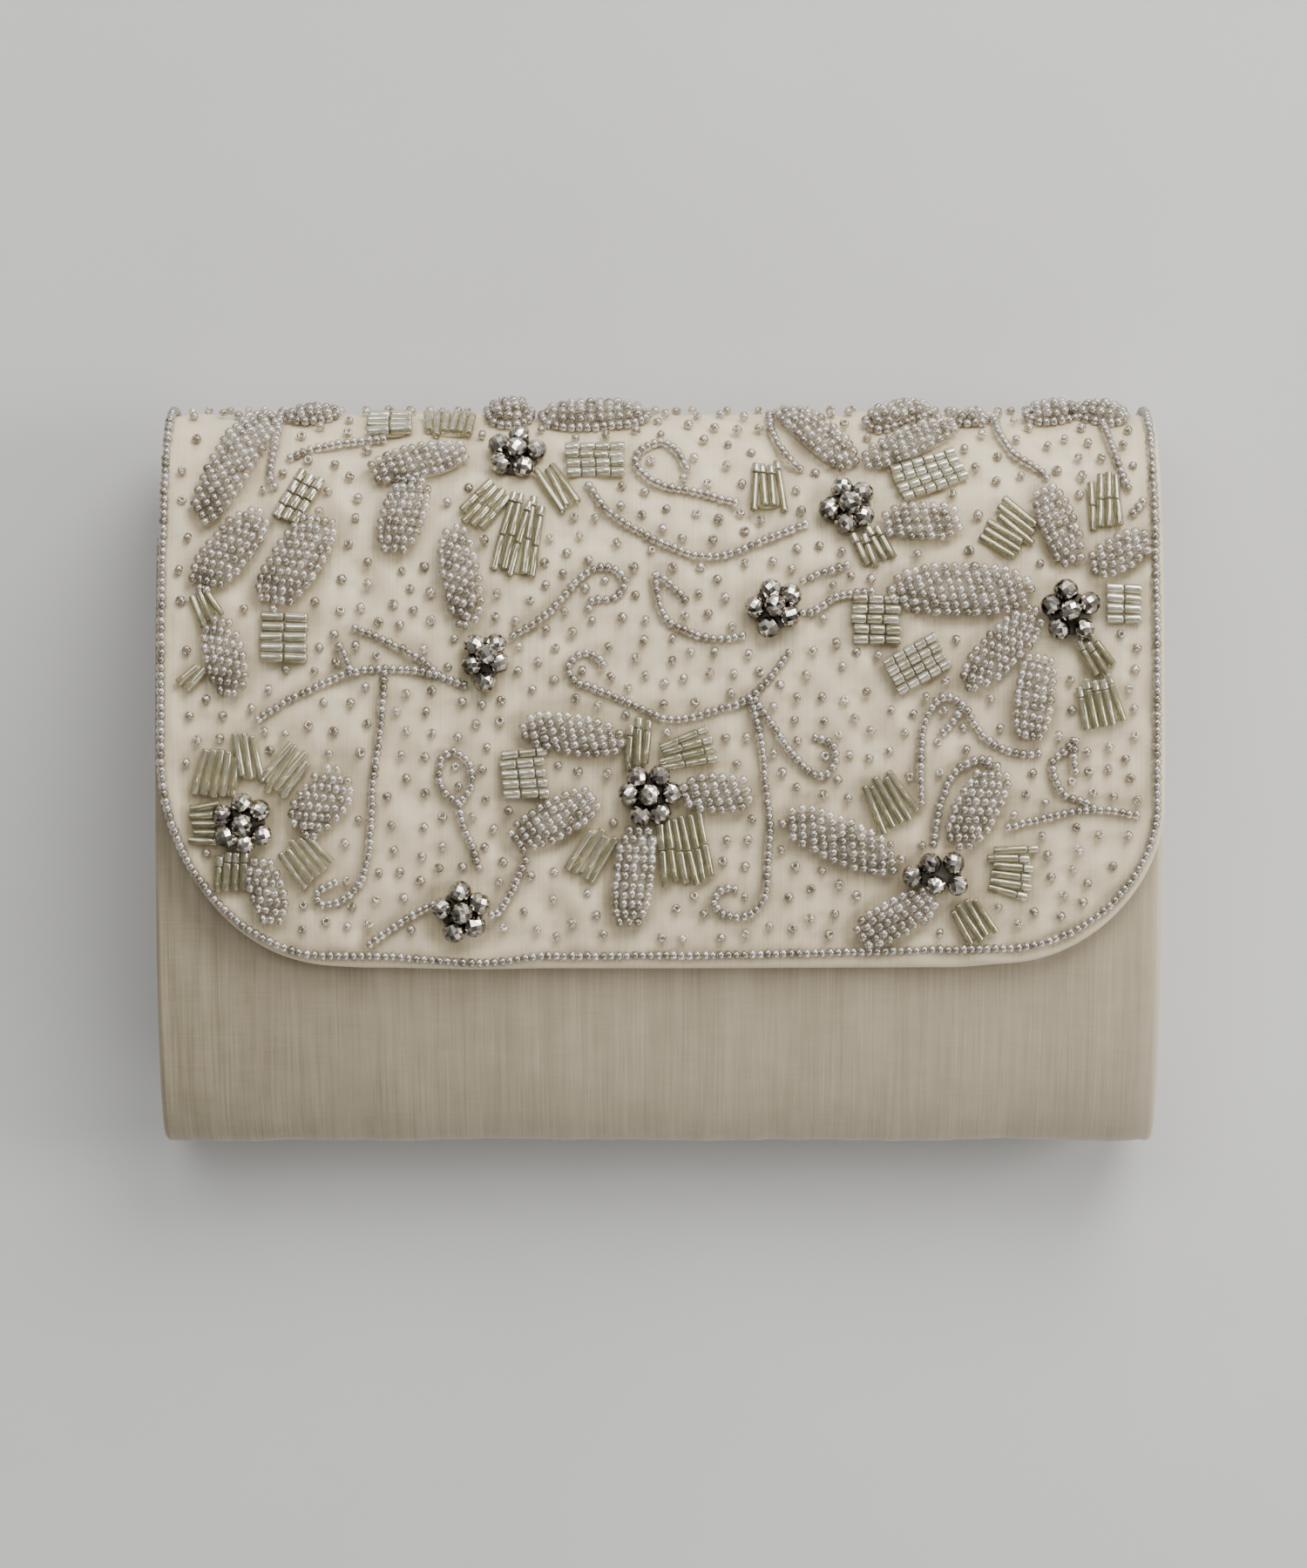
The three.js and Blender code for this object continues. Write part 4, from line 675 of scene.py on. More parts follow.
def leaf(node, x1, v1, x2, v2, width, rows_at, lift_by=0.0):
    """A padded leaf: rows of seed beads laid over a dome of felt."""
    stock = stock_of(node)
    mid = np.array([(x1 + x2) / 2, (v1 + v2) / 2])
    axis = np.array([x2 - x1, v2 - v1])
    long = np.linalg.norm(axis)
    axis /= long
    side = np.array([-axis[1], axis[0]])
    row = np.array([math.cos(math.radians(rows_at)), math.sin(math.radians(rows_at))])
    across = np.array([-row[1], row[0]])
    a, b, power = long / 2 + 0.2, width / 2 + 0.1, 2.55
    reach = lambda p: (np.abs(p @ axis / a) ** power + np.abs(p @ side / b) ** power) ** (1 / power)
    dome = lambda q: 0.66 + (1.42 + lift_by) * np.sqrt(np.clip(1 - np.minimum(q, 1) ** 2.4, 0, 1))
    span = abs(axis @ across) * a + abs(side @ across) * b
    n = max(2, int(round(2 * span / ROW_PITCH)))
    s = np.linspace(-a - b, a + b, 900)
    for k in range(n):
        start = across * ((k + 0.5) / n * 2 - 1) * span
        inside = reach(start + s[:, None] * row) < 0.93
        if not inside.any():
            continue
        lo, hi = s[inside][0], s[inside][-1]
        beads = max(1, int(round((hi - lo) / ROW_BEAD)))
        pitch = (hi - lo) / beads
        if pitch < 1.1:
            continue
        at = lo + (np.arange(beads) + 0.5) * pitch
        local = start + at[:, None] * row + rng.normal(0, 0.09, (beads, 2))
        h = dome(reach(local) * 1.03)
        p = mid + local
        centre = on_flap(p[:, 0], p[:, 1], 0) + flap_normal(p[:, 1]) * (h + rng.normal(0, 0.07, beads))[:, None]
        fore, aft = local + row * 0.5, local - row * 0.5
        pf, pa = mid + fore, mid + aft
        way = on_flap(pf[:, 0], pf[:, 1], 0) + flap_normal(pf[:, 1]) * dome(reach(fore) * 1.03)[:, None] - on_flap(pa[:, 0], pa[:, 1], 0) - flap_normal(pa[:, 1]) * dome(reach(aft) * 1.03)[:, None]
        way /= np.linalg.norm(way, axis=1, keepdims=True)
        turns = spin(frames(lean(way, 0.14), flap_normal(p[:, 1])), rng.uniform(0, 6.28, beads))
        r = 0.95 * rng.normal(1, 0.08, beads)
        size = np.stack([np.full(beads, min(pitch, 1.62) / 1.47), r, r], 1)
        # painted shade: beads towards the lower side of the leaf are painted darker
        low = np.clip(0.1 - local[:, 1] / (abs(axis[1]) * a + abs(side[1]) * b), -0.5, 1)
        strew(stock, SEED, centre, turns, size, rng.beta(1.7, 1.5, beads) - 0.26 * low, M_SEED, 0.08, 0.31)
    low_side = mid[1] > 108
    if low_side:
        around = np.linspace(0, 2 * math.pi, 400, endpoint=False)
        rim = (np.abs(np.cos(around)) ** power + np.abs(np.sin(around)) ** power) ** (-1 / power)
        ring = mid + 0.98 * rim[:, None] * (a * np.cos(around)[:, None] * axis + b * np.sin(around)[:, None] * side)
        string_beads(stock, np.concatenate([ring, ring[:1]]), 0.72, 0.93, 1.55, 0.08)
    # felt under the beads
    reach_of_felt = 0.72 if low_side else 0.78
    rings, spokes = 7, 28
    grid = [mid]
    lift = [dome(np.array([0.0]))[0] - 0.30]
    for i in range(1, rings + 1):
        f = min(i / (rings - 1), 1.0) * reach_of_felt
        for j in range(spokes):
            t = 2 * math.pi * j / spokes
            c, q = math.cos(t), math.sin(t)
            rim = (abs(c) ** power + abs(q) ** power) ** (-1 / power)
            grid.append(mid + f * rim * (a * c * axis + b * q * side))
            lift.append(max(dome(np.array([f]))[0] - 0.30, 0.0) * (1 - 0.85 * (f / reach_of_felt) ** 5) if i < rings else -0.35)
    grid, lift = np.array(grid), np.array(lift)
    top = on_flap(grid[:, 0], grid[:, 1], 0) + flap_normal(grid[:, 1]) * lift[:, None]
    under = on_flap(mid[None, 0], mid[None, 1], 0) - flap_normal(mid[None, 1]) * 0.5
    j = np.arange(spokes)
    tris = [np.stack([np.zeros(spokes, int), 1 + j, 1 + (j + 1) % spokes], 1)]
    quads = []
    for i in range(rings - 1):
        p, q = 1 + i * spokes, 1 + (i + 1) * spokes
        quads.append(np.stack([p + j, q + j, q + (j + 1) % spokes, p + (j + 1) % spokes], 1))
    e = 1 + (rings - 1) * spokes
    tris.append(np.stack([np.full(spokes, len(grid)), e + (j + 1) % spokes, e + j], 1))
    stock.add(np.concatenate([top, under]), np.concatenate(quads), np.concatenate(tris), 0.5, M_PAD, True)
    edge = np.array([mid + r * (a * math.cos(t) * axis + b * math.sin(t) * side) for t in np.linspace(0, 2 * math.pi, 60) for r in (1.0, 0.72, 0.4)])
    marks.append(edge)


def bed(stock, x, v, turn, half_long, half_wide, high, power, mat, tone=0.5):
    """A low cushion under a group of beads."""
    spokes = 32
    t = np.arange(spokes) * 2 * math.pi / spokes
    rim = (np.abs(np.cos(t)) ** power + np.abs(np.sin(t)) ** power) ** (-1 / power)
    rows = []
    for f, h in ((0.55, 1.0), (0.93, 0.92), (1.0, 0.55), (1.0, -0.6)):
        a, b = f * rim * half_long * np.cos(t), f * rim * half_wide * np.sin(t)
        px, pv = x + a * math.cos(turn) - b * math.sin(turn), v + a * math.sin(turn) + b * math.cos(turn)
        rows.append(on_flap(px, pv, 0) + flap_normal(pv) * (high * h))
    ends = np.concatenate([on_flap([x], [v], high), on_flap([x], [v], -high * 0.6)])
    p, j = np.concatenate(rows + [ends]), np.arange(spokes)
    quads = np.concatenate([np.stack([i * spokes + j, (i + 1) * spokes + j, (i + 1) * spokes + (j + 1) % spokes, i * spokes + (j + 1) % spokes], 1) for i in range(3)])
    top, low = 4 * spokes, 4 * spokes + 1
    tris = np.concatenate([np.stack([np.full(spokes, top), j, (j + 1) % spokes], 1), np.stack([np.full(spokes, low), 3 * spokes + (j + 1) % spokes, 3 * spokes + j], 1)])
    stock.add(p, quads, tris, tone, mat, True)


def cut_tone(shift, bright):
    """Tones of one cut bead: its lining shines through most of them, and its ends stay dark. Its brightest facets lie
    on its upper half, where they are painted highlight as well as lining.
    """
    sides = CUT_BEAD["sides"]
    lit = bright or rng.random() < 0.6
    tone = np.full(sides, 0.50 if lit else 0.36) + shift + rng.normal(0, 0.07, sides)
    for _ in range(2):
        # painted highlight, with the lining: bright facets on the bead's upper half
        tone[rng.integers(0, sides // 2)] += 0.45 if lit else 0.2
    ring = np.arange(len(CUT_BEAD["side"])) // sides
    return np.where((ring >= 2) & (ring <= 5), tone[CUT_BEAD["side"] % sides], 0.2)[None]


def tube_tone(shift):
    """Tones of one bugle bead: one or two thin bright streaks along a quiet tube. The first lies on its upper side and
    is a painted highlight as well as the lining; the second falls at random.
    """
    sides = TUBE["sides"]
    tone = np.full(sides, 0.38 + shift) + rng.normal(0, 0.10, sides)
    if rng.random() < 0.45:
        # painted highlight, with the lining: a bright streak on the tube's upper side
        tone[rng.integers(2, 7)] += rng.uniform(0.25, 0.6)
    if rng.random() < 0.4:
        tone[rng.integers(0, sides)] += rng.uniform(0.2, 0.4)
    return tone[TUBE["side"] % sides][None]


def bar(node, kind, x, v, degrees, beside, cells, long, tip, fan, shade):
    """A block of bugle or cut beads laid side by side."""
    stock = stock_of(node)
    pitch, radius = (CUT_PITCH, CUT_R) if kind == "cut" else (BUGLE_PITCH, BUGLE_R)
    covered = []
    shift = 0.08 * shade
    for i in range(beside):
        off = (i - (beside - 1) / 2) * pitch
        turn = math.radians(degrees + fan * (i - (beside - 1) / 2) * 0.55 + rng.normal(0, 2.6 if kind == "bugle" else 1.0))
        base = math.radians(degrees)
        way, side = np.array([math.cos(turn), math.sin(turn)]), np.array([-math.sin(base), math.cos(base)])
        mid = np.array([x, v]) + side * off + way * rng.normal(0, 0.5 if kind == "bugle" else 0.15)
        whole = long * (1 + rng.normal(0, 0.06 if kind == "bugle" else 0.02))
        parts = [whole / cells] * cells
        if tip:
            short = 2.1
            parts = [(whole - short) / cells] * cells
            parts = [short] + parts if tip < 0 else parts + [short]
        at = -whole / 2
        for k, length in enumerate(parts):
            p = mid + way * (at + length / 2)
            at += length
            is_tip = tip and (k == 0 if tip < 0 else k == len(parts) - 1)
            cut = kind == "cut" or is_tip
            r = (CUT_R if cut and kind == "cut" else radius) * rng.normal(1, 0.04)
            h = r * 0.92 + 0.1 + rng.normal(0, 0.05)
            ends = np.stack([p - way * length / 2, p + way * length / 2])
            e = on_flap(ends[:, 0], ends[:, 1], h)
            axis = (e[1] - e[0])[None]
            up = flap_normal(np.array([p[1]]))
            turns = spin(frames(lean(axis / np.linalg.norm(axis), 0.015), up), rng.uniform(-0.5, 0.5, 1))
            centre = (on_flap(p[0:1], p[1:2], h) + e.mean(0)[None]) / 2
            size = np.array([[length - 0.12, r, r]])
            if cut:
                strew(stock, CUT_BEAD, centre, turns, size, cut_tone(shift, is_tip), M_CUT, 0.05)
            else:
                strew(stock, TUBE, centre, turns, size, tube_tone(shift), M_BUGLE, 0.05)
        covered.append(mid + way * np.linspace(-whole / 2, whole / 2, 12)[:, None])
    base = math.radians(degrees)
    bed(stock, x, v, base, long / 2 - 0.55, beside * pitch / 2 - 0.45, radius * 0.72, 3.5, M_BED, 0.5 + 0.28 * shade)
    marks.append(np.concatenate(covered))


def flower(node, x, v, around, degrees):
    """Faceted beads in a ring round one more, or in a bunch."""
    stock = stock_of(node)
    if around:
        a = math.radians(degrees) + np.arange(around) * 2 * math.pi / around + rng.normal(0, 0.09, around)
        reach = (RING_R if around == 6 else RING_R - 0.2) + rng.normal(0, 0.22, around)
        spots = np.stack([reach * np.cos(a), reach * np.sin(a), np.zeros(around)], 1)
        spots = np.concatenate([spots, [[0, 0, MIDDLE_RAISE]]])
    else:
        spots = np.array(BUNCHES[node][1])
    n = len(spots)
    at = np.array([x, v]) + spots[:, :2]
    up = flap_normal(at[:, 1])
    centre = on_flap(at[:, 0], at[:, 1], 0) + up * (FACET_R * 0.86 + spots[:, 2] + rng.normal(0, 0.12, n))[:, None]
    a = np.arctan2(spots[:, 1], spots[:, 0])
    near = np.stack([at[:, 0] - np.sin(a), at[:, 1] + np.cos(a)], 1)
    way = on_flap(near[:, 0], near[:, 1], 0) - on_flap(at[:, 0], at[:, 1], 0)
    turns = spin(frames(lean(way, 0.30), up), rng.uniform(0, 6.28, n))
    r = FACET_R * rng.normal(1, 0.03, n) * (1 if around else 0.96)
    # painted light: facets turned towards the top of the bag are painted paler, and those turned down darker
    out = np.einsum("nij,kj->nki", turns, FACET["v"]) @ np.array([0.22, 0.86, 0.46])
    strew(stock, FACET, centre, turns, np.stack([r * 1.06, r, r], 1), rng.uniform(0.34, 0.52, (n, 1)) + 0.26 * out, M_FACET, 0.19)
    dx, dv, half_x, half_v = (0.0, 0.0, 4.1, 4.1) if around else BUNCHES[node][0]
    # the near-black bed shows as painted shade between the beads
    bed(stock, x + dx, v + dv, 0.0, half_x, half_v, 1.5, 2.0, M_DARK)
    t = np.linspace(0, 2 * math.pi, 30)
    marks.append(np.concatenate([np.stack([x + dx + q * np.cos(t) * half_x / 4.1, v + dv + q * np.sin(t) * half_v / 4.1], 1) for q in (2.0, 4.2, 6.2 if around else 5.8)]))


for row in FLOWERS:
    flower(*row)
for row in LEAVES:
    leaf(*row)
for row in BARS:
    bar(*row)
for node, points in VINES:
    marks.append(string_beads(stock_of(node), curve_through(points), 0.70, VINE_R, VINE_PITCH, 0.06))


def edge_line():
    """Chart line of the bead string along the flap's edge."""
    def side(corner, sign, string):
        (across, run, power), (inset, low, ease) = corner, string
        a = np.linspace(0, math.pi / 2, 60)
        p, q = np.cos(a) ** (2 / power), np.sin(a) ** (2 / power)
        p[-1] = 0.0
        nx, nv = p ** (power - 1) / across, q ** (power - 1) / run
        g = np.hypot(nx, nv)
        d = inset + (low - inset) * np.sin(a) ** ease
        turn = np.stack([sign * (HALF - across + across * p - d * nx / g), run - run * q + d * nv / g], 1)
        up = np.linspace(FLAP_LONG - 0.9, run + 2, 60)
        return np.concatenate([np.stack([np.full(60, sign * (HALF - inset)), up], 1), turn])
    left, right = side(CORNER_LEFT, -1, EDGE_LEFT), side(CORNER_RIGHT, 1, EDGE_RIGHT)
    x = np.linspace(left[-1, 0], right[-1, 0], 120)[1:-1]
    t = np.clip(x / right[-1, 0], 0, 1)
    bottom = np.stack([x, left[-1, 1] + (right[-1, 1] - left[-1, 1]) * t * t * (3 - 2 * t)], 1)
    line = np.concatenate([left, bottom, right[::-1]])
    line[:, 1] = waved(line[:, 0], line[:, 1], STRING_DROP)
    return line


EDGE = edge_line()
string_beads(stock_of("edge_bead_string"), EDGE, 0.66, EDGE_R, EDGE_PITCH, 0.04)


# ---- Loose seed beads over the free ground ----
def tree_of(points):
    tree = KDTree(len(points))
    for i, p in enumerate(points):
        tree.insert((p[0], p[1], 0), i)
    tree.balance()
    return tree


MARKS = np.concatenate(marks)
mark_tree, edge_tree = tree_of(MARKS), tree_of(EDGE)


def inside_flap(x, v, inset):
    return v > inset and v < 121 and x > -float(flap_side(v, CORNER_LEFT)) + inset and x < float(flap_side(v, CORNER_RIGHT)) - inset


def loose_spots():
    spots = []
    r = np.random.default_rng(5)
    for _ in range(26000):
        x, v = r.uniform(-94, 94), r.uniform(3, 120.5)
        if not inside_flap(x, v, SCATTER_EDGE) or edge_tree.find((x, v, 0))[2] < SCATTER_EDGE - 0.6 or mark_tree.find((x, v, 0))[2] < SCATTER_CLEAR:
            continue
        room = SCATTER_SPACE + sum(extra * max(0, 1 - math.hypot(x - cx, v - cv) / reach) ** 0.5 for cx, cv, reach, extra in SPARSE)
        if all((x - a) ** 2 + (v - b) ** 2 > room * room for a, b in spots):
            spots.append((x, v))
    return np.array(spots)


LOOSE = loose_spots()
scatter = Stock()
n = len(LOOSE)
up = flap_normal(LOOSE[:, 1])
heading = rng.uniform(0, 2 * math.pi, n)
flat = np.stack([np.cos(heading), np.sin(heading)], 1)
way = on_flap(LOOSE[:, 0] + flat[:, 0], LOOSE[:, 1] + flat[:, 1], 0) - on_flap(LOOSE[:, 0], LOOSE[:, 1], 0)
rise = np.where(rng.random(n) < 0.5, rng.uniform(0, 0.35, n), rng.uniform(0.6, 1.35, n))
way = way * np.cos(rise)[:, None] + up * np.sin(rise)[:, None]
turns = spin(frames(way, np.where(np.abs((way * up).sum(1, keepdims=True)) > 0.97, np.array([[1.0, 0, 0]]), up)), rng.uniform(0, 6.28, n))
r = 0.90 * rng.normal(1, 0.06, n)
high = np.cos(rise) * r * 0.9 + np.sin(rise) * 0.56 - 0.16
strew(scatter, RING_BEAD, on_flap(LOOSE[:, 0], LOOSE[:, 1], 0) + up * high[:, None], turns, np.stack([r, r, r], 1), 0.04 + 0.7 * rng.beta(2.2, 3.0, n), M_SEED, 0.08, 0.25)


# ---- Cloth ----
def shell(rows, cols, place_top, place_under, tone=None):
    """A closed wall over a grid: outside, inside, and one shared border. Gives the stock and the point that each mesh point has on the grid."""
    nr, nc = rows, cols
    top = place_top.reshape(-1, 3)
    under = place_under.reshape(-1, 3)
    index = np.arange(nr * nc).reshape(nr, nc)
    border = np.zeros((nr, nc), bool)
    border[0], border[-1], border[:, 0], border[:, -1] = True, True, True, True
    low = np.where(border, index, 0)
    inner = np.flatnonzero(~border.ravel())
    low = low.ravel()
    low[inner] = nr * nc + np.arange(len(inner))
    low = low.reshape(nr, nc)
    quads = lambda m: np.stack([m[:-1, :-1], m[:-1, 1:], m[1:, 1:], m[1:, :-1]], -1).reshape(-1, 4)
    stock = Stock()
    tone = np.zeros(nr * nc) if tone is None else tone.ravel()
    stock.add(np.concatenate([top, under[inner]]), np.concatenate([quads(index), quads(low)[:, ::-1]]), tone=np.concatenate([tone, np.zeros(len(inner))]))
    return stock, np.concatenate([np.arange(nr * nc), inner])


def round_off(d, wall):
    """How far the cloth's face sinks at distance d from its folded edge."""
    r = wall / 2
    d = np.clip(d, 0, r)
    return r - np.sqrt(np.maximum(r * r - (r - d) ** 2, 0))


def far(tree, x, v):
    return np.array([tree.find((a, b, 0))[2] for a, b in zip(x.ravel(), v.ravel())]).reshape(x.shape)


def flap_cloth():
    low_rows = CORNER_LEFT[1] * (1 - np.cos(np.linspace(0, math.pi / 2, 42)))
    rows = np.concatenate([low_rows, np.arange(CORNER_LEFT[1] + 0.95, FLAP_LONG - 1.9, 0.95), FLAP_LONG - np.array([1.5, 1.0, 0.6, 0.3, 0.1, 0.0])])
    rims = np.array([0, 0.1, 0.3, 0.65, 1.1, 1.6, 2.3])
    left, right = flap_side(rows, CORNER_LEFT), flap_side(rows, CORNER_RIGHT)
    inner = np.linspace(0, 1, 186)[1:-1]
    x = np.concatenate([
        -left[:, None] + rims[None],
        (-left + 2.3)[:, None] + inner[None] * (left + right - 4.6)[:, None],
        right[:, None] - rims[::-1][None],
    ], 1)
    v = np.repeat(rows[:, None], x.shape[1], 1)
    # the outline, finely spaced, and how far each point lies inside it
    fine = np.concatenate([CORNER_LEFT[1] * (1 - np.cos(np.linspace(0, math.pi / 2, 900))), np.linspace(CORNER_LEFT[1], FLAP_LONG, 900)])
    rim = np.concatenate([
        np.stack([-flap_side(fine, CORNER_LEFT), fine], 1), np.stack([flap_side(fine, CORNER_RIGHT), fine], 1),
        np.stack([np.linspace(CORNER_LEFT[0] - HALF, HALF - CORNER_RIGHT[0], 1400), np.zeros(1400)], 1), np.stack([np.linspace(-HALF, HALF, 1900), np.full(1900, FLAP_LONG)], 1),
    ])
    inset = far(tree_of(rim), x, v)
    inset[0], inset[-1], inset[:, 0], inset[:, -1] = 0, 0, 0, 0
    sunk = round_off(inset, FLAP_WALL)
    # stitches pull the padded silk down, and it swells between them
    stitched, loose, string = far(mark_tree, x, v), far(tree_of(LOOSE), x, v), far(edge_tree, x, waved(x, v, HEM_DROP))
    pull = -0.46 * np.exp(-((stitched / 1.7) ** 2)) + 0.17 * np.exp(-(((stitched - 3.6) / 1.9) ** 2))
    pull += -0.34 * np.exp(-((loose / 1.6) ** 2)) - 0.22 * np.exp(-((string / 1.3) ** 2))
    pull += 0.24 * ripple(x, v, 3, 13) + 0.13 * ripple(x, v, 4, 7.5)
    fade = np.clip((inset - 0.4) / 2.0, 0, 1)
    h = pull * fade - sunk
    top = on_flap(x, waved(x, v, HEM_DROP), 0) + flap_normal(v) * h[..., None]
    deep = -FLAP_WALL + sunk + 0.05 * ripple(x, v, 8, 20) * fade
    under = on_flap(x, waved(x, v, HEM_DROP), 0) + flap_normal(v) * deep[..., None]
    # painted shade on the silk beside the beads, more on their lower left, and a painted shadow below each loose bead
    # and along the edge string
    beside = far(mark_tree, x + 0.6, v + 0.9)
    loose_shadow_reach = far(tree_of(LOOSE * np.array([1.15, 0.78])), (x + 0.2) * 1.15, (v + 1.1) * 0.78)
    flap_painted_shading = np.maximum(0.88 * np.exp(-((beside / 2.2) ** 2)), 0.95 * np.exp(-((loose_shadow_reach / 1.25) ** 2)))
    flap_painted_shading = np.maximum(flap_painted_shading, 0.85 * np.exp(-((string / 1.6) ** 2)))
    # painted light: the silk is painted paler up on the roll
    flap_painted_shading = flap_painted_shading - 0.4 * np.clip((v - 90) / 18, 0, 1)  # the roll is paler
    stock, at = shell(*x.shape, top, under, flap_painted_shading)
    uv = np.stack([x.ravel(), v.ravel()], 1)[at]
    return stock, uv


def wrap_line(mouth_y, back_angle, step):
    """The body's outside from the mouth of its front panel round the bottom to the seam on the back."""
    front = TOP[TOP[:, 0] <= mouth_y][::-1]
    low = LOW[::-1]
    low_back = back_corner(-BACK_LOW_Y, -BOTTOM_TIP_Y, np.linspace(math.pi / 2, 0, 400)) * np.array([-1, 1, -1, 1])
    high_back = back_corner(BACK_HIGH_Y, TOP_TIP_Y, np.linspace(0, back_angle, 300))
    line = np.concatenate([front, low[1:], low_back[1:], high_back])
    at = along(line)
    keep = np.concatenate([[True], np.diff(at) > 1e-9])
    line, at = line[keep], at[keep]
    n = int(at[-1] / step)
    ends = np.array([0.1, 0.35, 0.7, 1.2])
    s = np.concatenate([[0], ends, np.linspace(1.8, at[-1] - 1.8, n), at[-1] - ends[::-1], [at[-1]]])
    out = np.stack([np.interp(s, at, line[:, k]) for k in range(4)], 1)
    out[:, 2:] /= np.linalg.norm(out[:, 2:], axis=1, keepdims=True)
    return out, s


def body_cloth():
    line, s = wrap_line(MOUTH_Y, SEAM_ANGLE + SEWN_LAP / TIP_Z, 1.25)  # its edge is pressed against the flap's by the stitches
    half = BODY_WIDTH / 2
    rims = np.array([0, 0.08, 0.25, 0.5, 0.85, 1.25, 1.9])
    x = np.concatenate([-half + rims, np.linspace(-half + 2.6, half - 2.6, 104), half - rims[::-1]])
    X, S = np.meshgrid(x, s)
    inset = np.minimum(np.minimum(half - np.abs(X), S), s[-1] - S)
    sunk = round_off(inset, BODY_WALL)
    fade = np.clip((inset - 0.3) / 3.0, 0, 1)
    lies = np.clip((line[:, 1] - 0.3) / 3.0, 0, 1)[:, None]  # the flat of the back stays flat
    soft = 0.13 * ripple(X, S * 0.45, 21, 24) + 0.06 * ripple(X, S * 0.2, 22, 7)
    hem = -0.16 * np.exp(-(((half - np.abs(X) - 2.4) / 0.8) ** 2))  # the fold's edge stands a little proud of its seam
    y, z, ny, nz = (line[:, k][:, None] for k in range(4))
    bulge = 0.9 * np.clip(-ny, 0, 1) ** 3 * np.clip(nz + 1, 0, 1)
    h = (soft * fade + hem * np.clip(inset / 2, 0, 1)) * lies - sunk + bulge
    out = np.where(X < 0, X * (1 + LEFT_OUT / half), X)
    put = lambda d: np.stack([out, y + d * ny + SHIFT_Y, z + d * nz], -1)
    # painted shade: the left of the body is painted darker, and a painted highlight runs along its right edge
    body_painted_shading = 0.06 + 0.7 * np.clip((-X - 5) / 85, 0, 1) + 0.0 * S
    body_painted_shading = body_painted_shading - 2.4 * np.exp(-(((half - X) / 1.9) ** 2))
    stock, at = shell(*X.shape, put(h), put(-BODY_WALL + sunk + bulge * 0.5), body_painted_shading)
    return stock, np.stack([X.ravel(), S.ravel()], 1)[at], s[-1]


def gusset_cloth(sign):
    """A side wall set in between the edges of the wrap, folded in a little along its middle."""
    back = math.asin((GUSSET_BACK_Y - BACK_HIGH_Y) / (TOP_TIP_Y - BACK_HIGH_Y))
    line, _ = wrap_line(GUSSET_TOP_Y, back, 2.0)
    line = moved(line, -BODY_WALL - SEWN_GAP)
    hub = np.array([-6.0, 19.0])
    rings = np.array([1.0, 0.995, 0.985, 0.965, 0.93, 0.86, 0.76, 0.64, 0.5, 0.36, 0.22, 0.1])
    n = len(line)
    face = BODY_WIDTH / 2 - GUSSET_INSET + (LEFT_OUT if sign < 0 else 0)
    tops, unders = [], []
    for f in rings:
        y, z = hub[0] + f * (line[:, 0] - hub[0]), hub[1] + f * (line[:, 1] - hub[1])
        edge = round_off((1 - f) * 30.0 * np.ones(n), GUSSET_WALL)
        fold = 1.1 * (1 - f**2) * np.exp(-(((z - 19) / 9.0) ** 2)) + 0.12 * ripple(y, z, 31, 18) * (1 - f)
        tops.append(np.stack([sign * (face - edge - fold), y + SHIFT_Y, z], 1))
        unders.append(np.stack([sign * (face - GUSSET_WALL + edge - np.minimum(fold, 0.0)), y + SHIFT_Y, z], 1))
    mid = np.array([[sign * (face - 1.1), hub[0] + SHIFT_Y, hub[1]], [sign * (face - GUSSET_WALL), hub[0] + SHIFT_Y, hub[1]]])
    k = len(rings)
    v = np.concatenate(tops + unders[1:] + [mid])
    j = np.arange(n)
    quads, tris = [], []
    for i in range(k - 1):
        p, q = i * n, (i + 1) * n
        quads.append(np.stack([p + j, p + (j + 1) % n, q + (j + 1) % n, q + j], 1))
        p, q = (0 if i == 0 else (k + i - 1) * n), (k + i) * n
        quads.append(np.stack([p + j, q + j, q + (j + 1) % n, p + (j + 1) % n], 1))
    a, b = (k - 1) * n, (2 * k - 2) * n
    tris.append(np.stack([a + j, a + (j + 1) % n, np.full(n, len(v) - 2)], 1))
    tris.append(np.stack([b + (j + 1) % n, b + j, np.full(n, len(v) - 1)], 1))
    quads, tris = np.concatenate(quads), np.concatenate(tris)
    both = np.concatenate([quads[:, [0, 1, 2]], quads[:, [0, 2, 3]], tris])
    if np.einsum("ij,ij->i", v[both[:, 0]], np.cross(v[both[:, 1]], v[both[:, 2]])).sum() < 0:
        quads, tris = quads[:, ::-1], tris[:, ::-1]
    stock = Stock()
    stock.add(v, quads, tris, 0.0)
    return stock, np.stack([v[:, 1], v[:, 2]], 1)


stock, uv = flap_cloth()
flap_piece = piece("flap_silk", stock, [SILK_FLAP], ["flap"], uv)
stock, uv, wrap_long = body_cloth()
body_piece = piece("body_silk", stock, [SILK_BODY], ["body_shell"], uv)
for name, sign in (("gusset_left", -1), ("gusset_right", 1)):
    stock, uv = gusset_cloth(sign)
    piece(name + "_silk", stock, [SILK_BODY], [name], uv)

for node in sorted(stocks):
    piece(node + "_beads", stocks[node], BEAD_MATS, [node])
piece("loose_beads", scatter, BEAD_MATS, ())

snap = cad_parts["flap_snap"]
snap.data.materials.clear()
snap.data.materials.append(SNAP)


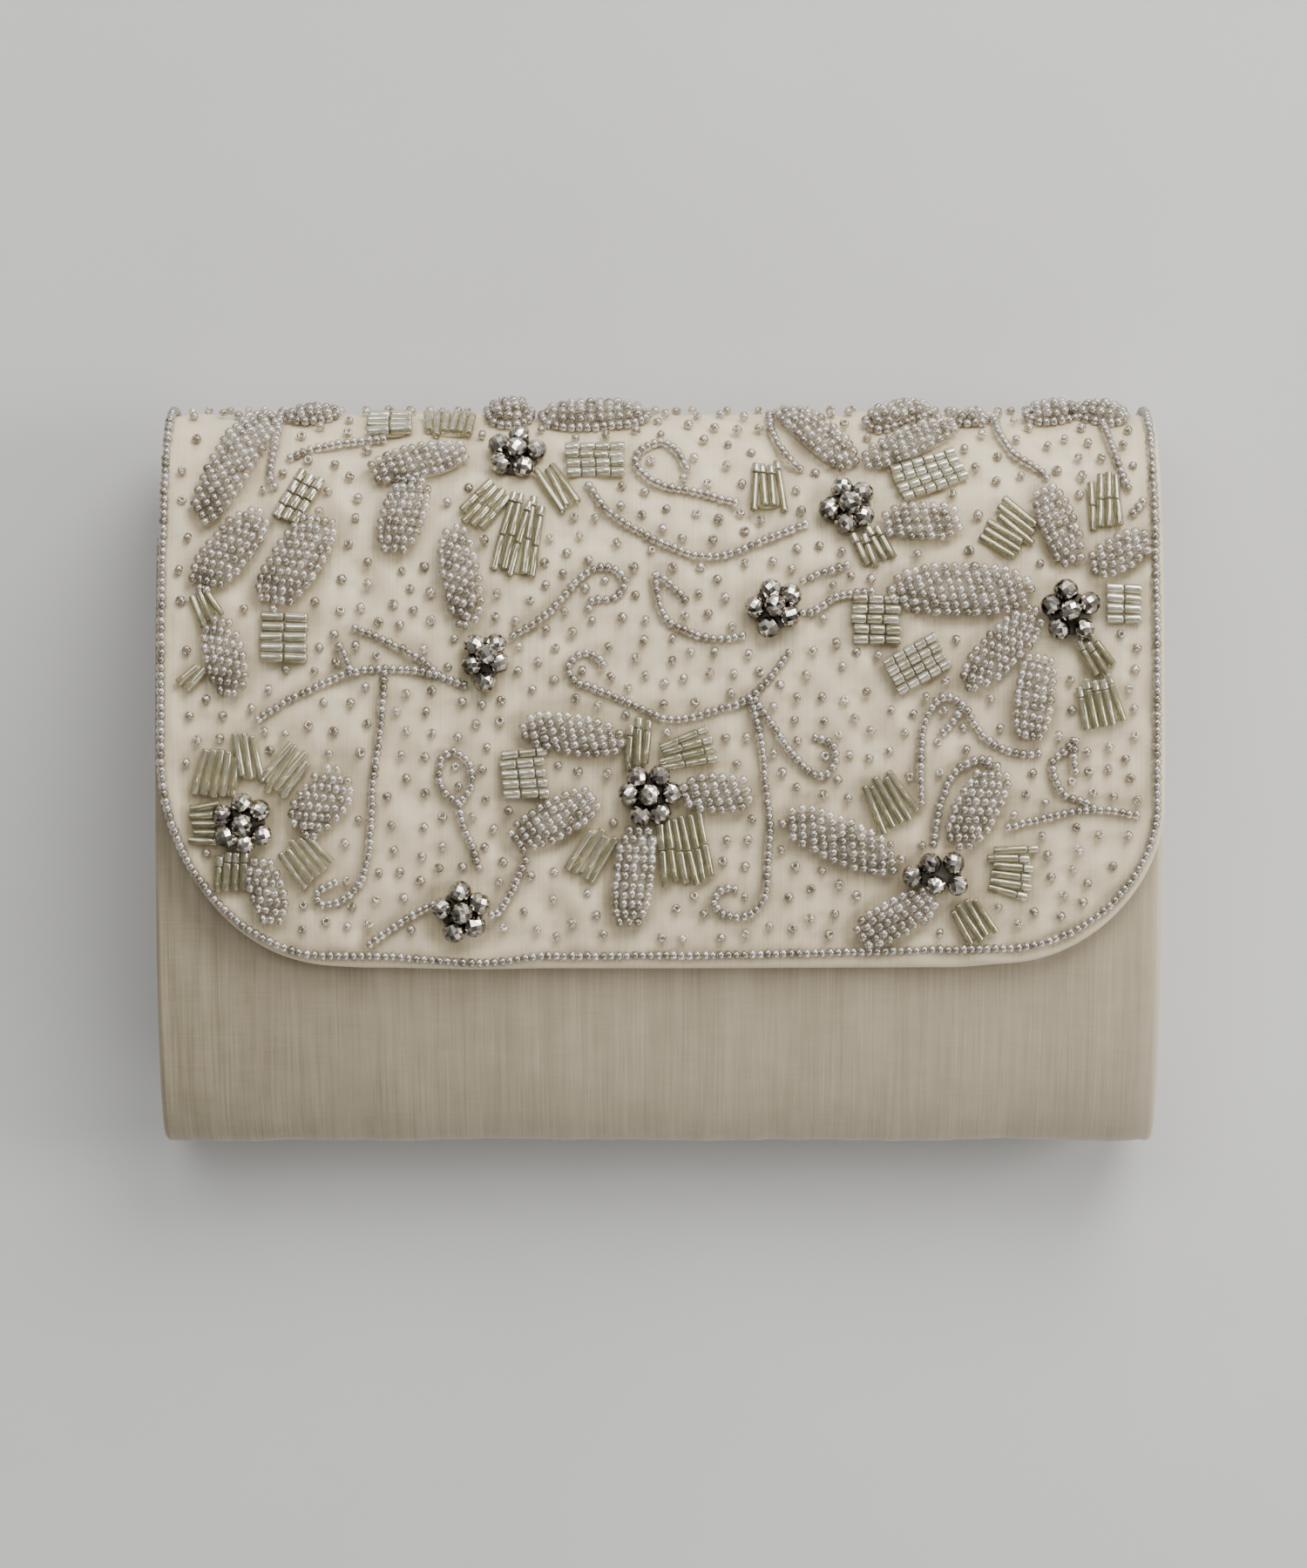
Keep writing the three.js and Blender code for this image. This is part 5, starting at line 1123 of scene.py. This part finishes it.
# ---- Floor, light and camera ----
def floor():
    mesh = bpy.data.meshes.new("floor")
    mesh.from_pydata([(-3, -3, -0.0003), (3, -3, -0.0003), (3, 3, -0.0003), (-3, 3, -0.0003)], [], [(0, 1, 2, 3)])
    obj = bpy.data.objects.new("floor", mesh)
    bpy.context.scene.collection.objects.link(obj)
    m, t, s = material("floor_paint")
    co = t.nodes.new("ShaderNodeTexCoord").outputs["Object"]
    t.links.new(ramp(t, noise(t, co, 5, 4.0, 0.6), [(0.3, (0.50, 0.50, 0.495)), (0.7, (0.55, 0.55, 0.545))]), s.inputs["Base Color"])
    s.inputs["Roughness"].default_value = 0.75
    obj.data.materials.append(m)


def area_light(name, place, target, size, watts, colour):
    data = bpy.data.lights.new(name, "AREA")
    data.shape, data.size, data.energy, data.color = "DISK", size, watts, colour
    obj = bpy.data.objects.new(name, data)
    bpy.context.scene.collection.objects.link(obj)
    obj.location = place
    obj.rotation_euler = (Vector(target) - Vector(place)).to_track_quat("-Z", "Y").to_euler()


def sky():
    world = bpy.data.worlds.new("studio")
    bpy.context.scene.world = world
    world.use_nodes = True
    t = world.node_tree
    t.nodes.clear()
    out, back = t.nodes.new("ShaderNodeOutputWorld"), t.nodes.new("ShaderNodeBackground")
    t.links.new(back.outputs[0], out.inputs[0])
    co = t.nodes.new("ShaderNodeTexCoord").outputs["Generated"]
    lit = t.nodes.new("ShaderNodeVectorMath")
    lit.operation = "DOT_PRODUCT"
    t.links.new(co, lit.inputs[0])
    lit.inputs[1].default_value = (0.30, 0.80, 0.52)
    level = maths(t, "MULTIPLY_ADD", lit.outputs["Value"], 0.5)
    level.node.inputs[2].default_value = 0.5
    t.links.new(ramp(t, level, [(0.2, (0.19, 0.19, 0.183)), (0.62, (0.28, 0.278, 0.27)), (0.86, (0.60, 0.60, 0.585)), (1.0, (1.1, 1.1, 1.08))]), back.inputs[0])
    back.inputs[1].default_value = 1.0


floor()
sky()
area_light("key", (0.40, 0.90, 0.75), (0, 0, 0.03), 0.8, 16, (1.0, 0.985, 0.96))
area_light("left", (-0.35, 0.60, 1.15), (0, 0, 0.03), 0.7, 5, (0.98, 0.99, 1.0))
area_light("right", (0.80, 0.05, 0.48), (0, 0, 0.03), 0.4, 5, (1.0, 0.99, 0.97))
area_light("bounce", (0.55, -1.05, 0.42), (0, 0, 0.02), 1.6, 8.5, (1.0, 0.985, 0.96))

camera = bpy.data.objects.new("camera", bpy.data.cameras.new("camera"))
bpy.context.scene.collection.objects.link(camera)
camera.location = (-1.5 * MM, (-1.75 + SHIFT_Y) * MM, 0.975)
camera.rotation_euler = (0, 0, 0)
camera.data.sensor_fit = "AUTO"
camera.data.sensor_width = 36.0
camera.data.lens = 5580.0 / 1800.0 * 36.0
camera.data.clip_start, camera.data.clip_end = 0.05, 10.0
bpy.context.scene.camera = camera
